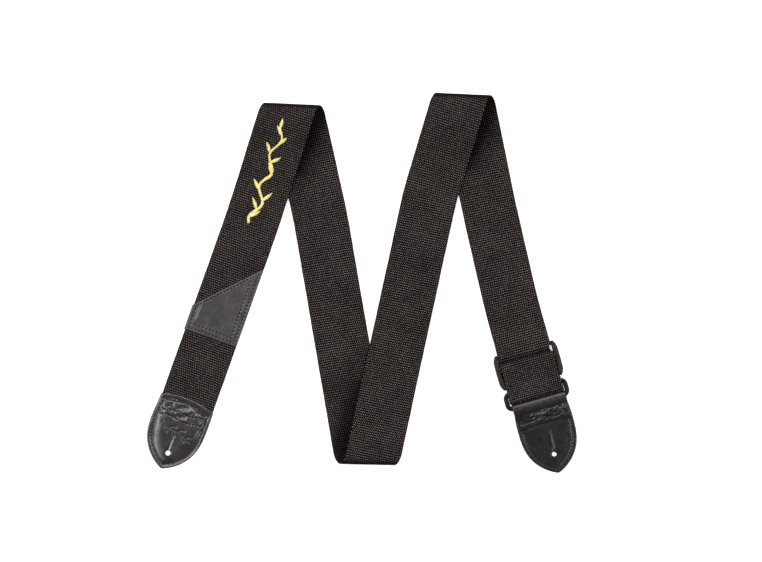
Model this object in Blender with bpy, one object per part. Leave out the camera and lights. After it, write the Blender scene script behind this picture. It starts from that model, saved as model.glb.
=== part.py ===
"""Guitar strap: webbing with two leather ends, a three-bar slider and a ring, lying in a loose M.

Metres, +Z up. The strap lies flat on z = 0, with leg 1 (leather end A) on the left and leg 4 (slider,
ring, leather end B) on the right. A place on the webbing is (s, v): s runs along the strap from end A,
v runs across it. The folds wrap that flat strip round half cylinders, so its length is kept.
"""

import math

import bmesh
import bpy
import numpy as np
from mathutils import Matrix, Vector
from mathutils.geometry import delaunay_2d_cdt

# ---------------------------------------------------------------- driving dimensions (metres, degrees)
WEB_W = 0.050            # webbing width
WEB_T = 0.0018           # webbing thickness
AIR = 0.0003             # clearance between touching pieces
LAY = WEB_T + 0.0004     # rise of a layer that lies on another one

START = (-0.1608, -0.1110)   # webbing centreline at the mouth of leather end A
HEADING = 70.4               # travel direction of leg 1 from +X
# each leg: length, in-plane turns (centre, span, degrees)
LEGS = (
    (0.2802, ((0.177, 0.040, 1.7),)),
    (0.3150, ((0.095, 0.040, -2.85),)),
    (0.3286, ((0.2418, 0.030, -4.4),)),
    (0.2450, ((0.095, 0.070, 1.6), (0.188, 0.060, 2.6))),
)
# each fold: heading of the next leg, bend radius, sideways creep, reach of the sag, reach of the overlap
FOLDS = (
    (-77.4, 0.010, 0.0021, 0.066, 0.079),
    (77.7, 0.010, 0.0060, 0.078, 0.126),
    (-78.6, 0.010, 0.0027, 0.070, 0.084),
)
DROP = 0.030             # length over which a layer steps down past an overlap

LEATHER_T = 0.0015
LEATHER_HALF = 0.0264    # half width of both leather ends at their widest
END_A_LENGTH = 0.0644
END_A_HEADING = 248.0    # from the mouth to the tip
END_A_MOUTH = 0.0258     # half width at the mouth
END_A_ARCH = 0.0042      # height of the arched mouth edge
HINGE_A = 0.0065         # s of the line where end A bends up
INSERT = 0.024           # webbing sewn inside end A
RISE_A = (0.045, 0.009)  # the webbing climbs onto the back leather between these s

SLIDER_LONG = 0.033
SLIDER_WIDE = 0.060
RAIL = 0.0046            # width of the slider's side rails
RAIL_H = 0.0046
BAR_W = 0.0040
BAR_H = 0.0030
BAR_Z = 0.0040           # height of the two outer bars' centre
MID_W = -0.0035          # place of the middle bar along the slider
MID_Z = 0.0058
RING_R = 0.0022          # ring rod radius
RING_HALF = 0.0283       # half width to the rod's centre
RING_Z = 0.0044
RING_UP = 0.0210         # upper and lower rod, from the slider's centre
RING_LOW = 0.0346
TURN_W = 0.0257          # centre of the webbing's turn in the ring
RUN_START = -0.0700      # where the webbing starts to give way to the slider
BRIDGE = (-0.0190, -0.0010)
LOOP_END = 0.0103        # the sewn end reaches this far from the slider's centre
TAIL_END = 0.0100

END_B_LENGTH = 0.0680
END_B_MOUTH = 0.0254
FLAP = 0.0212            # the flap of end B ends here, from the lower rod
HOLE_R = 0.0030          # button hole
SLIT = 0.0008            # width of the slit above a button hole
THREAD = 0.00035         # thread radius

POCKET_LOW = 0.0637      # s of the pocket panel's lower edge
POCKET_LEFT = 0.0870     # s of its mouth at the left edge
POCKET_RIGHT = 0.1402    # s of its mouth at the right edge
POCKET_T = 0.0012

MOTIF = (0.176, 0.268)   # s range of the embroidered sprig
MOTIF_T = 0.0007


# ---------------------------------------------------------------- webbing geometry
def smooth(x):
    """0 to 1 with flat ends."""
    x = np.clip(x, 0.0, 1.0)
    return x * x * (3.0 - 2.0 * x)


def unit(degrees):
    a = math.radians(degrees)
    return np.array([math.cos(a), math.sin(a)])


class Leg:
    """One leg's centreline in plan, carried on past both ends; side is +1 with the front face up."""

    def __init__(self, start, heading, length, turns, side):
        self.u = np.arange(-0.09, length + 0.09, 0.0005)
        angle = np.full_like(self.u, heading)
        for centre, span, change in turns:
            angle = angle + change * smooth((self.u - centre) / span + 0.5)
        self.angle = np.radians(angle)
        step = np.stack([np.cos(self.angle), np.sin(self.angle)], 1) * 0.0005
        way = np.vstack([[0.0, 0.0], np.cumsum((step[1:] + step[:-1]) / 2, 0)])
        zero = np.array([np.interp(0.0, self.u, way[:, i]) for i in (0, 1)])
        self.way = way - zero + np.asarray(start)
        self.length, self.side = length, side
        self.end_heading = heading + sum(t[2] for t in turns)

    def plan(self, u, v):
        x = np.interp(u, self.u, self.way[:, 0])
        y = np.interp(u, self.u, self.way[:, 1])
        a = np.interp(u, self.u, self.angle)
        off = v * self.side
        return np.stack([x - np.sin(a) * off, y + np.cos(a) * off], -1)


class Fold:
    """A soft fold: the strip wraps a half cylinder whose edge is the crease line through q."""

    def __init__(self, leg, next_heading, radius, creep, sag, overlap):
        self.q = leg.plan(np.array(leg.length), np.array(0.0))
        crease = (leg.end_heading + next_heading) / 2
        self.t = unit(crease)
        self.n = np.array([-self.t[1], self.t[0]])
        go = unit(leg.end_heading)
        if self.n @ go < 0:
            self.n = -self.n
        if self.t[0] < 0:
            self.t = -self.t
        self.r, self.creep, self.sag, self.overlap = radius, creep, sag, overlap
        self.arc = math.pi * radius
        self.length = self.arc / (self.n @ go)
        self.start = self.q + self.t * (self.length * (self.t @ go) + creep)
        self.top_first = leg.side > 0

    def height(self, dist):
        """Lift of the upper layer at a distance from the crease."""
        h = LAY + (2 * self.r - LAY) * (1 - smooth(dist / self.sag))
        return h * (1 - smooth((dist - self.overlap) / DROP))


LEG, FOLD, S0 = [], [], []
_start, _heading, _side, _s = START, HEADING, 1, 0.0
for _i, (_length, _turns) in enumerate(LEGS):
    LEG.append(Leg(_start, _heading, _length, _turns, _side))
    S0.append(_s)
    if _i < len(FOLDS):
        FOLD.append(Fold(LEG[-1], *FOLDS[_i]))
        _start, _heading, _side = FOLD[-1].start, FOLDS[_i][0], -_side
        _s += _length + FOLD[-1].length
S_SLIDER = S0[3] + LEGS[3][0]


def bridge_lift(w):
    """The webbing climbs over the slider's first bar, then dives under the middle one."""
    high = BAR_Z + BAR_H / 2 + AIR
    return high * smooth((w + 0.045) / 0.028) * (1 - smooth((w + 0.0135) / 0.008))


def web_mid(s, v):
    """Middle surface of the webbing, for arrays of s and v."""
    s, v = np.broadcast_arrays(np.asarray(s, float), np.asarray(v, float))
    out = np.zeros(s.shape + (3,))
    which = np.zeros(s.shape, int)
    bend = np.full(s.shape, -1)
    depth = np.zeros(s.shape)
    for k, f in enumerate(FOLD):
        s_mid = S0[k] + LEGS[k][0] + f.length / 2
        near = np.abs(s - s_mid) < 0.05
        d = (LEG[k].plan(s - S0[k], v) - f.q) @ f.n
        inside = near & (d > 0) & (d < f.arc)
        bend[inside], depth[inside] = k, d[inside]
        which[np.where(near, d >= f.arc, s > s_mid)] = k + 1
    for k, leg in enumerate(LEG):
        on = (which == k) & (bend < 0)
        p = leg.plan(s[on] - S0[k], v[on])
        z = np.full(len(p), WEB_T / 2)
        if k == 0:
            z += (LEATHER_T + AIR) * smooth((RISE_A[0] - s[on]) / (RISE_A[0] - RISE_A[1]))
        if k in (0, 2):
            z += FOLD[k].height(-(p - FOLD[k].q) @ FOLD[k].n)
        if k == 2:
            z += FOLD[1].height(-(p - FOLD[1].q) @ FOLD[1].n)
        if k == 3:
            z += bridge_lift(s[on] - S_SLIDER)
        out[on, :2], out[on, 2] = p, z
    for k, f in enumerate(FOLD):
        on = bend == k
        p = LEG[k].plan(s[on] - S0[k], v[on]) - f.q
        d = depth[on]
        along = p @ f.t + f.creep * smooth(d / f.arc)
        out[on, :2] = f.q + along[:, None] * f.t + (f.r * np.sin(d / f.r))[:, None] * f.n
        out[on, 2] = WEB_T / 2 + f.r * (1 + (1 if f.top_first else -1) * np.cos(d / f.r))
    return out


def web_point(s, v, n):
    """A point n off the middle surface, towards the front face."""
    e = 0.0004
    ds = web_mid(s + e, v) - web_mid(s - e, v)
    dv = web_mid(s, v + e) - web_mid(s, v - e)
    normal = np.cross(ds, dv)
    normal /= np.linalg.norm(normal, axis=-1, keepdims=True)
    return web_mid(s, v) + normal * np.asarray(n)[..., None]


# ---------------------------------------------------------------- local frames at the two ends
class Frame:
    """Plan frame: w runs outward along the strap, c runs across it, z is world height."""

    def __init__(self, origin, heading):
        self.o = np.asarray(origin, float)
        self.a = unit(heading)
        self.c = np.array([-self.a[1], self.a[0]])

    def __call__(self, w, c, z):
        p = self.o + self.a * w + self.c * c
        return Vector((p[0], p[1], z))


END_A = Frame(START, END_A_HEADING)
SLIDER = Frame(LEG[3].plan(np.array(LEGS[3][0]), np.array(0.0)), LEG[3].end_heading)
END_B = Frame(SLIDER(RING_LOW, 0.0006, 0).xy, LEG[3].end_heading)


# ---------------------------------------------------------------- mesh helpers
def material(name, color, roughness, metallic=0.0):
    m = bpy.data.materials.new(name)
    m.use_nodes = True
    shader = m.node_tree.nodes["Principled BSDF"]
    shader.inputs["Base Color"].default_value = (*color, 1.0)
    shader.inputs["Roughness"].default_value = roughness
    shader.inputs["Metallic"].default_value = metallic
    return m


def add_object(name, verts, faces, mat, flat=False):
    mesh = bpy.data.meshes.new(name)
    mesh.from_pydata([tuple(v) for v in verts], [], faces)
    bm = bmesh.new()
    bm.from_mesh(mesh)
    bmesh.ops.recalc_face_normals(bm, faces=bm.faces)
    bm.to_mesh(mesh)
    bm.free()
    obj = bpy.data.objects.new(name, mesh)
    obj.data.materials.append(mat)
    bpy.context.scene.collection.objects.link(obj)
    if not flat:
        mesh.shade_smooth()
        mesh.set_sharp_from_angle(angle=math.radians(35))
    return obj


def hang_on(obj, point):
    """Moves an object's origin to a point on its joint's axis."""
    obj.data.transform(Matrix.Translation(-Vector(point)))
    obj.location = point
    return obj


def loft(name, rings, mat):
    """A closed bar through a list of point rings, capped at both ends."""
    count = len(rings[0])
    verts = [p for ring in rings for p in ring]
    faces = [list(range(count)), list(range(len(verts) - count, len(verts)))]
    for i in range(len(rings) - 1):
        for j in range(count):
            k = (j + 1) % count
            a, b = i * count, (i + 1) * count
            faces.append([a + j, a + k, b + k, b + j])
    return add_object(name, verts, faces, mat)


def web_section(half, inner=5):
    """Outline of the webbing's cross section as (v, n), with soft selvedges."""
    edge = half - 0.0005
    row = list(np.linspace(-edge, edge, inner + 2))
    top = [(v, WEB_T / 2) for v in row]
    return [(-half, 0.0)] + top + [(half, 0.0)] + [(v, -n) for v, n in reversed(top)]


def web_strip(name, stations, mat, half=WEB_W / 2, inner=5):
    section = np.array(web_section(half, inner))
    s = np.repeat(np.array(stations)[:, None], len(section), 1)
    points = web_point(s, section[None, :, 0] + 0 * s, section[None, :, 1] + 0 * s)
    return loft(name, [[tuple(p) for p in ring] for ring in points], mat)


def path_strip(name, path, mat, half=WEB_W / 2, thick=WEB_T, frame=SLIDER, shift=0.0):
    """A strip of constant width that follows a (w, z) path in a local frame."""
    path = np.array(path)
    go = np.gradient(path, axis=0)
    go /= np.linalg.norm(go, axis=1, keepdims=True)
    normal = np.stack([-go[:, 1], go[:, 0]], 1)
    edge = half - 0.0004
    section = [(-half, 0), (-edge, 0.5), (edge, 0.5), (half, 0), (edge, -0.5), (-edge, -0.5)]
    rings = []
    for p, n in zip(path, normal):
        rings.append([frame(p[0] + n[0] * k * thick, c + shift, p[1] + n[1] * k * thick)
                      for c, k in section])
    return loft(name, rings, mat)


def arc(w, z, radius, first, last, steps):
    """Points (w, z) of an arc, with angles in degrees."""
    return [(w + radius * math.cos(math.radians(a)), z + radius * math.sin(math.radians(a)))
            for a in np.linspace(first, last, steps)]


def within(points, polygon):
    """Which points lie inside a polygon."""
    x, y = points[:, 0], points[:, 1]
    hit = np.zeros(len(points), bool)
    for (x0, y0), (x1, y1) in zip(polygon, polygon[1:] + polygon[:1]):
        if y0 == y1:
            continue
        cross = ((y0 > y) != (y1 > y)) & (x < (x1 - x0) * (y - y0) / (y1 - y0) + x0)
        hit ^= cross
    return hit


def plate(name, shapes, holes, lower, upper, mat, grid):
    """A closed plate: the union of flat shapes less the holes, between two mapped surfaces."""
    loops = shapes + holes
    points, edges = [], []
    for loop in loops:
        base = len(points)
        points += [Vector(p) for p in loop]
        edges += [(base + i, base + (i + 1) % len(loop)) for i in range(len(loop))]
    flat = np.array([p for loop in loops for p in loop])
    low, high = flat.min(0), flat.max(0)
    nodes = np.array([(x + (grid / 2 if j % 2 else 0), y)
                      for j, y in enumerate(np.arange(low[1], high[1], grid * 0.87))
                      for x in np.arange(low[0], high[0], grid)])
    dense = np.array([np.add(np.multiply(a, 1 - t), np.multiply(b, t)) for loop in loops
                      for a, b in zip(loop, loop[1:] + loop[:1]) for t in (0.0, 0.25, 0.5, 0.75)])
    keep = np.zeros(len(nodes), bool)
    for shape in shapes:
        keep |= within(nodes, shape)
    for hole in holes:
        keep &= ~within(nodes, hole)
    gap = np.linalg.norm(nodes[:, None] - dense[None], axis=2).min(1)
    points += [Vector(p) for p in nodes[keep & (gap > grid * 0.45)]]
    verts, _, tris, _, _, _ = delaunay_2d_cdt(points, edges, [], 0, 1e-7)
    flat = np.array([tuple(p) for p in verts])
    tris = np.array([tuple(f) for f in tris])
    centre = flat[tris].mean(1)
    keep = np.zeros(len(tris), bool)
    for shape in shapes:
        keep |= within(centre, shape)
    for hole in holes:
        keep &= ~within(centre, hole)
    tris = tris[keep]
    used = np.unique(tris)
    index = {int(u): i for i, u in enumerate(used)}
    flat = flat[used]
    count = len(flat)
    faces, rim = [], {}
    for tri in tris:
        a, b, c = (index[int(i)] for i in tri)
        faces += [[a, b, c], [a + count, c + count, b + count]]
        for e in ((a, b), (b, c), (c, a)):
            rim[e] = rim.get((e[1], e[0]), 0) + 1
            if (e[1], e[0]) in rim:
                rim.pop(e)
                rim.pop((e[1], e[0]))
    faces += [[b, a, a + count, b + count] for a, b in rim]
    return add_object(name, [*lower(flat), *upper(flat)], faces, mat)


def seam(name, points, mat, origin=(0.0, 0.0, 0.0)):
    """A row of stitching as one round thread, with its origin on its joint's axis."""
    curve = bpy.data.curves.new(name, "CURVE")
    curve.dimensions = "3D"
    curve.bevel_depth = THREAD
    curve.bevel_resolution = 1
    curve.use_fill_caps = True
    curve.resolution_u = 1
    curve.render_resolution_u = 1
    line = curve.splines.new("POLY")
    line.points.add(len(points) - 1)
    for item, p in zip(line.points, points):
        item.co = (*(p - Vector(origin)), 1.0)
    obj = bpy.data.objects.new(name, curve)
    obj.location = origin
    curve.materials.append(mat)
    bpy.context.scene.collection.objects.link(obj)
    return obj


def box(name, size, round_by, mat, segments=3):
    """A block with rounded edges, centred on its origin."""
    mesh = bpy.data.meshes.new(name)
    bm = bmesh.new()
    bmesh.ops.create_cube(bm, size=1.0)
    bmesh.ops.scale(bm, vec=size, verts=bm.verts)
    bm.to_mesh(mesh)
    bm.free()
    obj = bpy.data.objects.new(name, mesh)
    mesh.materials.append(mat)
    bpy.context.scene.collection.objects.link(obj)
    bevel = obj.modifiers.new("round", "BEVEL")
    bevel.width = round_by
    bevel.segments = segments
    return obj


# ---------------------------------------------------------------- leather outlines
def end_outline(length, mouth, power, arch, centre=0.0):
    """Outline of a leather end as (w, c): mouth edge first, then round the pointed tip."""
    start = 0.30 * length

    def half(w):
        x = max(0.0, (w - start) / (length - start))
        wide = mouth + (LEATHER_HALF - mouth) * float(smooth(w / start))
        return wide * (1 - min(x, 1.0) ** power) ** 0.8

    steps = [length * (1 - (1 - t) ** 2) for t in np.linspace(0, 1, 17)]
    edge = [(-arch * (1 - (c / mouth) ** 2), c + centre) for c in np.linspace(-mouth, mouth, 9)]
    right = [(w, half(w) + centre) for w in steps[1:-1]]
    left = [(w, -half(w) + centre) for w in reversed(steps[1:-1])]
    return edge + right + [(length, centre)] + left


def inset(points, by):
    """The outline moved inwards."""
    p = np.array(points)
    go = np.roll(p, -1, 0) - np.roll(p, 1, 0)
    go /= np.linalg.norm(go, axis=1, keepdims=True)
    normal = np.stack([-go[:, 1], go[:, 0]], 1)
    if (normal * (p.mean(0) - p)).sum() < 0:
        normal = -normal
    return p + normal * by


def keyhole(w, c, top):
    """Button hole with a slit running up to w = top."""
    angles = np.radians(np.linspace(180 + 8, 540 - 8, 15))
    ring = [(w + HOLE_R * math.cos(a), c + HOLE_R * math.sin(a)) for a in angles]
    return ring + [(top, c + SLIT / 2), (top, c - SLIT / 2)]


def flat_at(frame, height):
    """Maps plan points (w, c) to a height given by a number or a function of them."""
    def place(points):
        z = height(points) if callable(height) else np.full(len(points), height)
        return [frame(w, c, h) for (w, c), h in zip(points, z)]
    return place


# ---------------------------------------------------------------- the pieces
def build_webbing(webbing):
    """The strap's own webbing: fixed length, then the lengths that pass slider and ring."""
    stations = set(np.round(np.arange(HINGE_A + AIR / 2, S_SLIDER + RUN_START, 0.011), 5))
    for k, fold in enumerate(FOLD):
        mid = S0[k] + LEGS[k][0] + fold.length / 2
        way = -1 if fold.top_first else 1
        stations |= set(np.round(mid + way * np.arange(0.030, 0.165, 0.0055), 5))
        stations |= set(np.round(np.arange(mid - 0.027, mid + 0.0271, 0.003), 5))
    stations = sorted(stations | {S_SLIDER + RUN_START})
    kept = stations[:1]
    for s in stations[1:]:
        if s - kept[-1] > 0.0022:
            kept.append(s)
    kept[-1] = S_SLIDER + RUN_START
    web_strip("webbing_main", kept, webbing)

    low, high = BRIDGE
    steps = np.linspace(RUN_START + AIR, low - AIR, 9)
    web_strip("webbing_run_upper", list(S_SLIDER + steps), webbing, inner=1)
    web_strip("webbing_bridge", list(S_SLIDER + np.linspace(low, high, 19)), webbing, inner=1)
    web_strip("webbing_run_lower", list(S_SLIDER + np.linspace(high + AIR, TURN_W - 0.0005, 4)),
              webbing, inner=1)

    bend = RING_Z - WEB_T / 2
    turn = [(TURN_W, WEB_T / 2)] + arc(TURN_W, RING_Z, bend, -75, 75, 9) + [(TURN_W, RING_Z + bend)]
    path_strip("webbing_turn", turn, webbing)

    def over(w):
        base = BAR_Z + BAR_H / 2 + WEB_T / 2 + AIR + 0.00005
        near = (RING_Z + bend - base) * float(smooth((w - 0.015) / 0.008))
        return base + near + (MID_Z + BAR_H / 2 + WEB_T / 2 + AIR - base) * float(
            smooth((0.014 - w) / 0.015))

    path_strip("webbing_return", [(w, over(w)) for w in np.linspace(TURN_W - 0.0005, LOOP_END + AIR, 8)],
               webbing)
    around = BAR_H / 2 + AIR + WEB_T / 2
    left = MID_W - BAR_W / 2 + BAR_H / 2
    loop = [(w, over(w)) for w in np.linspace(LOOP_END, left + 0.001, 7)]
    loop += arc(left, MID_Z, around, 90, 270, 11)
    loop += [(left + 0.004, MID_Z - around), (TAIL_END, MID_Z - around)]
    path_strip("webbing_loop", loop, webbing)
    return over


def build_slider(plastic, thread, over):
    """Three-bar slider: two rails, two outer bars and a raised middle bar in one moulding."""
    frame = box("slider_frame", (RAIL, SLIDER_LONG, RAIL_H), 0.0017, plastic)
    outer = SLIDER_LONG / 2 - BAR_W / 2
    rail = SLIDER_WIDE / 2 - RAIL / 2
    turn = math.atan2(SLIDER.a[1], SLIDER.a[0]) - math.pi / 2
    frame.location = SLIDER(0, -rail, BAR_Z)
    frame.rotation_euler.z = turn
    others = [("rail", (RAIL, SLIDER_LONG, RAIL_H), 0.0017, (0, rail, BAR_Z))]
    span = SLIDER_WIDE - RAIL
    for label, w, z, soft in (("upper_bar", -outer, BAR_Z, 0.0010), ("lower_bar", outer, BAR_Z, 0.0010),
                              ("middle_bar", MID_W, MID_Z, 0.00145)):
        others.append((label, (span, BAR_W, BAR_H), soft, (w, 0, z)))
    for label, size, soft, place in others:
        tool = box("cut_" + label, size, soft, plastic, segments=3)
        tool.location = SLIDER(*place)
        tool.rotation_euler.z = turn
        tool.hide_render = True
        tool.display_type = "WIRE"
        union = frame.modifiers.new(label, "BOOLEAN")
        union.operation = "UNION"
        union.solver = "EXACT"
        union.object = tool

    half, count = 0.021, 15
    tack = []
    for i in range(count):
        w = 0.0062 + (0.0016 if i % 2 else -0.0016)
        tack.append(SLIDER(w, -half + 2 * half * i / (count - 1), over(w) + WEB_T / 2 + AIR + THREAD))
    seam("slider_bar_tack", tack, thread)


def build_ring(metal):
    """Closed rectangular ring of round rod."""
    corner, wide, top, low = 0.0034, RING_HALF, RING_UP, RING_LOW
    path = []
    for w, c, first in ((top + corner, wide - corner, 0), (top + corner, -wide + corner, 90),
                        (low - corner, -wide + corner, 180), (low - corner, wide - corner, 270)):
        for a in np.radians(np.linspace(first, first + 90, 6)):
            path.append(SLIDER(w - corner * math.sin(a), c + corner * math.cos(a), RING_Z))
    curve = bpy.data.curves.new("ring", "CURVE")
    curve.dimensions = "3D"
    curve.bevel_depth = RING_R
    curve.bevel_resolution = 4
    curve.resolution_u = 1
    curve.render_resolution_u = 1
    line = curve.splines.new("POLY")
    line.points.add(len(path) - 1)
    hinge = SLIDER(RING_UP, 0, RING_Z)
    for item, p in zip(line.points, path):
        item.co = (*(p - hinge), 1.0)
        item.radius = 1.0
    line.use_cyclic_u = True
    obj = bpy.data.objects.new("ring", curve)
    obj.location = hinge
    curve.materials.append(metal)
    bpy.context.scene.collection.objects.link(obj)


def build_end_a(leather, webbing, thread):
    """Two leathers with the webbing between them, button hole, perimeter seam and three cross rows."""
    outline = end_outline(END_A_LENGTH, END_A_MOUTH, 2.7, END_A_ARCH)
    hole = [keyhole(0.0488, 0.0004, 0.0316)]
    drape = WEB_T + AIR

    def lower(points):
        return LEATHER_T + AIR + drape * (1 - smooth((points[:, 0] - INSERT - 0.0008) / 0.009))

    def upper(points):
        return lower(points) + LEATHER_T

    hinge = web_point(np.array(HINGE_A), np.array(0.0), np.array(WEB_T / 2))
    grid = 0.0062
    pieces = [
        plate("end_a_back", [outline], hole, flat_at(END_A, 0.0), flat_at(END_A, LEATHER_T), leather, grid),
        plate("end_a_front", [outline], hole, flat_at(END_A, lower), flat_at(END_A, upper), leather, grid),
        web_strip("webbing_end_a", list(np.linspace(-INSERT, HINGE_A - AIR / 2, 7)), webbing, inner=1),
    ]
    for obj in pieces:
        hang_on(obj, Vector(hinge))

    def thread_at(points):
        points = np.array(points)
        return [END_A(w, c, h + AIR + THREAD) for (w, c), h in zip(points, upper(points))]

    edge = inset(outline, 0.0040)
    seam("end_a_perimeter_seam", thread_at(edge[10:39]), thread, hinge)
    half = END_A_MOUTH - 0.0062
    across = np.linspace(-half, half, 12)
    rows = {
        "end_a_cross_seam_mouth": [(0.0046 - END_A_ARCH * (1 - (c / half) ** 2), c) for c in across],
        "end_a_cross_seam_middle": [(0.0105 - 0.16 * c + 0.0006 * math.sin(c * 260), c) for c in across],
        "end_a_cross_seam_lower": [(0.0180 - 0.13 * c + 0.0007 * math.sin(c * 200), c) for c in across],
    }
    for name, points in rows.items():
        seam(name, thread_at(points), thread, hinge)


def build_pocket(leather, thread):
    """Leather panel on leg 1 with a slanted mouth and three seams."""
    half = WEB_W / 2
    base = WEB_T / 2 + AIR
    outline = [(POCKET_LOW, -half), (POCKET_RIGHT, -half), (POCKET_LEFT, half + 0.001),
               (POCKET_LOW, half + 0.001)]

    def on_web(n):
        def place(points):
            return [Vector(p) for p in web_point(points[:, 0], points[:, 1], np.full(len(points), n))]
        return place

    dense = []
    for a, b in zip(outline, outline[1:] + outline[:1]):
        dense += [tuple(np.add(np.multiply(a, 1 - t), np.multiply(b, t))) for t in (0, 0.25, 0.5, 0.75)]
    plate("pocket_panel", [dense], [], on_web(base), on_web(base + POCKET_T), leather, 0.014)

    slope = (POCKET_RIGHT - POCKET_LEFT) / WEB_W

    def mouth(v, down):
        return POCKET_LEFT + slope * (half - v) - down

    rows = {
        "pocket_seam_outer": [(mouth(half - 0.003, 0.004), half - 0.003), (POCKET_LOW + 0.003, half - 0.003),
                              (POCKET_LOW + 0.003, 0.003 - half), (mouth(0.003 - half, 0.005), 0.003 - half)],
        "pocket_seam_inner": [(POCKET_LOW + 0.007, half - 0.006), (POCKET_LOW + 0.007, 0.0075 - half),
                              (mouth(0.0075 - half, 0.005), 0.0075 - half)],
        "pocket_seam_mouth": [(mouth(v, 0.0026), v) for v in (half - 0.005, 0.010 - half)],
    }
    for name, corners in rows.items():
        path = []
        for a, b in zip(corners, corners[1:]):
            path += [np.add(np.multiply(a, 1 - t), np.multiply(b, t)) for t in (0, 0.25, 0.5, 0.75)]
        path = np.array(path + [np.array(corners[-1])])
        seam(name, on_web(base + POCKET_T + AIR + THREAD)(path), thread)


def build_motif(thread):
    """Embroidered sprig: a waving stem with pointed leaves, stitched as one piece."""
    first, last = MOTIF
    span = last - first
    t = np.linspace(0, 1, 41)

    def stem(x):
        return first + span * x, 0.0042 * np.sin(x * 3 * math.tau + 0.6) * (1 - 0.25 * x)

    s, v = stem(t)
    half = 0.0015 * (1 - 0.45 * t)
    go = np.stack([np.gradient(s), np.gradient(v)], 1)
    go /= np.linalg.norm(go, axis=1, keepdims=True)
    side = np.stack([-go[:, 1], go[:, 0]], 1) * half[:, None]
    mid = np.stack([s, v], 1)
    ribbon = [tuple(p) for p in mid + side] + [tuple(p) for p in (mid - side)[::-1]]

    def leaf(root, angle, length, wide):
        a = math.radians(angle)
        x = np.linspace(0, 1, 9)
        w = wide * np.sin(math.pi * x ** 0.8) ** 0.9
        shape = [(u * length, h) for u, h in zip(x, w)] + [(u * length, -h) for u, h in
                                                           list(zip(x, w))[-2:0:-1]]
        return [(root[0] + u * math.cos(a) - h * math.sin(a), root[1] + u * math.sin(a) + h * math.cos(a))
                for u, h in shape]

    shapes = [ribbon]
    for i, x in enumerate(np.linspace(0.05, 0.93, 10)):
        root = stem(x)
        way = 1 if i % 2 else -1
        shapes.append(leaf(root, way * (44 - 6 * (i % 3)), 0.0135 - 0.0003 * i, 0.0028))
    shapes.append(leaf(stem(0.985), 4, 0.0100, 0.0024))

    def on_web(n):
        def place(points):
            return [Vector(p) for p in web_point(points[:, 0], points[:, 1], np.full(len(points), n))]
        return place

    base = WEB_T / 2 + AIR + 0.0001
    plate("embroidered_sprig", shapes, [], on_web(base), on_web(base + MOTIF_T), thread, 0.02)


def build_end_b(leather, thread):
    """Back leather wraps the ring's lower rod and ends in a flap; the front leather carries the hole."""
    outline = end_outline(END_B_LENGTH, END_B_MOUTH, 3.0, 0.0)
    hole = [keyhole(0.0508, 0.0, 0.0337)]
    rod = Vector(SLIDER(RING_LOW, 0, RING_Z))
    joint = 0.0120
    around = RING_R + 0.0004 + LEATHER_T / 2
    half = END_B_MOUTH + 0.0003

    flap = [(FLAP + 0.0001, 2.5 * LEATHER_T + 2 * AIR), (FLAP - 0.005, 2.5 * LEATHER_T + 2 * AIR)]
    flap += [(w, 2.5 * LEATHER_T + 2 * AIR + (RING_Z + around - 2.5 * LEATHER_T - 2 * AIR)
              * float(smooth((0.0150 - w) / 0.0145))) for w in np.linspace(0.0140, 0.0010, 7)]
    flap += arc(0.0, RING_Z, around, 90, 270, 13)
    flap += [(w, LEATHER_T / 2 + (RING_Z - around - LEATHER_T / 2) * float(smooth((0.0090 - w) / 0.009)))
             for w in np.linspace(0.002, joint, 5)]
    wrap = path_strip("end_b_wrap", flap, leather, half=END_B_MOUTH, thick=LEATHER_T, frame=END_B)
    back_shape = [(joint + AIR, -half), (joint + AIR, half)] + [p for p in outline if p[0] > joint + 0.001]
    back = plate("end_b_back", [back_shape], hole, flat_at(END_B, 0.0), flat_at(END_B, LEATHER_T),
                 leather, 0.0062)
    front_shape = [(0.0085, -half), (0.0085, half)] + [p for p in outline if p[0] > 0.0095]
    front = plate("end_b_front", [front_shape], hole, flat_at(END_B, LEATHER_T + AIR),
                  flat_at(END_B, 2 * LEATHER_T + AIR), leather, 0.0062)
    for obj in (wrap, back, front):
        hang_on(obj, rod)

    top = 2 * LEATHER_T + AIR + AIR + THREAD
    edge = inset(end_outline(END_B_LENGTH, END_B_MOUTH, 3.0, 0.0), 0.0038)
    ring = [p for p in edge[9:40] if p[0] > FLAP + 0.0012]
    seam("end_b_perimeter_seam", [END_B(w, c, top) for w, c in ring], thread, rod)
    across = np.linspace(-0.0205, 0.0205, 12)
    seam("end_b_cross_seam",
         [END_B(0.0178 - 0.0016 * (1 - (c / 0.0205) ** 2), c, 3 * LEATHER_T + 3 * AIR + THREAD)
          for c in across], thread, rod)


def main():
    for obj in list(bpy.data.objects):
        bpy.data.objects.remove(obj, do_unlink=True)
    webbing = material("webbing", (0.018, 0.016, 0.016), 0.85)
    leather = material("leather", (0.030, 0.027, 0.028), 0.45)
    plastic = material("plastic", (0.028, 0.028, 0.030), 0.50)
    metal = material("ring", (0.012, 0.012, 0.013), 0.35)
    black = material("thread_black", (0.012, 0.012, 0.012), 0.60)
    yellow = material("thread_yellow", (0.80, 0.62, 0.12), 0.45)
    over = build_webbing(webbing)
    build_slider(plastic, black, over)
    build_ring(metal)
    build_end_a(leather, webbing, black)
    build_pocket(leather, black)
    build_motif(yellow)
    build_end_b(leather, black)


main()
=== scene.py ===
"""Guitar strap: ribbed webbing with two leather ends, a slider and a ring, lying in a loose M.

Metres, +Z up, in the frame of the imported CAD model. A place on the webbing is (s, v): s runs along the
strap from leather end A, v runs across it. The same flat strip and folds as in the CAD part are used
here, so every detailed piece lies where its CAD solid lies.
"""

import math

import bpy
import numpy as np
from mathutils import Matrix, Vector
from mathutils.geometry import delaunay_2d_cdt


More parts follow.
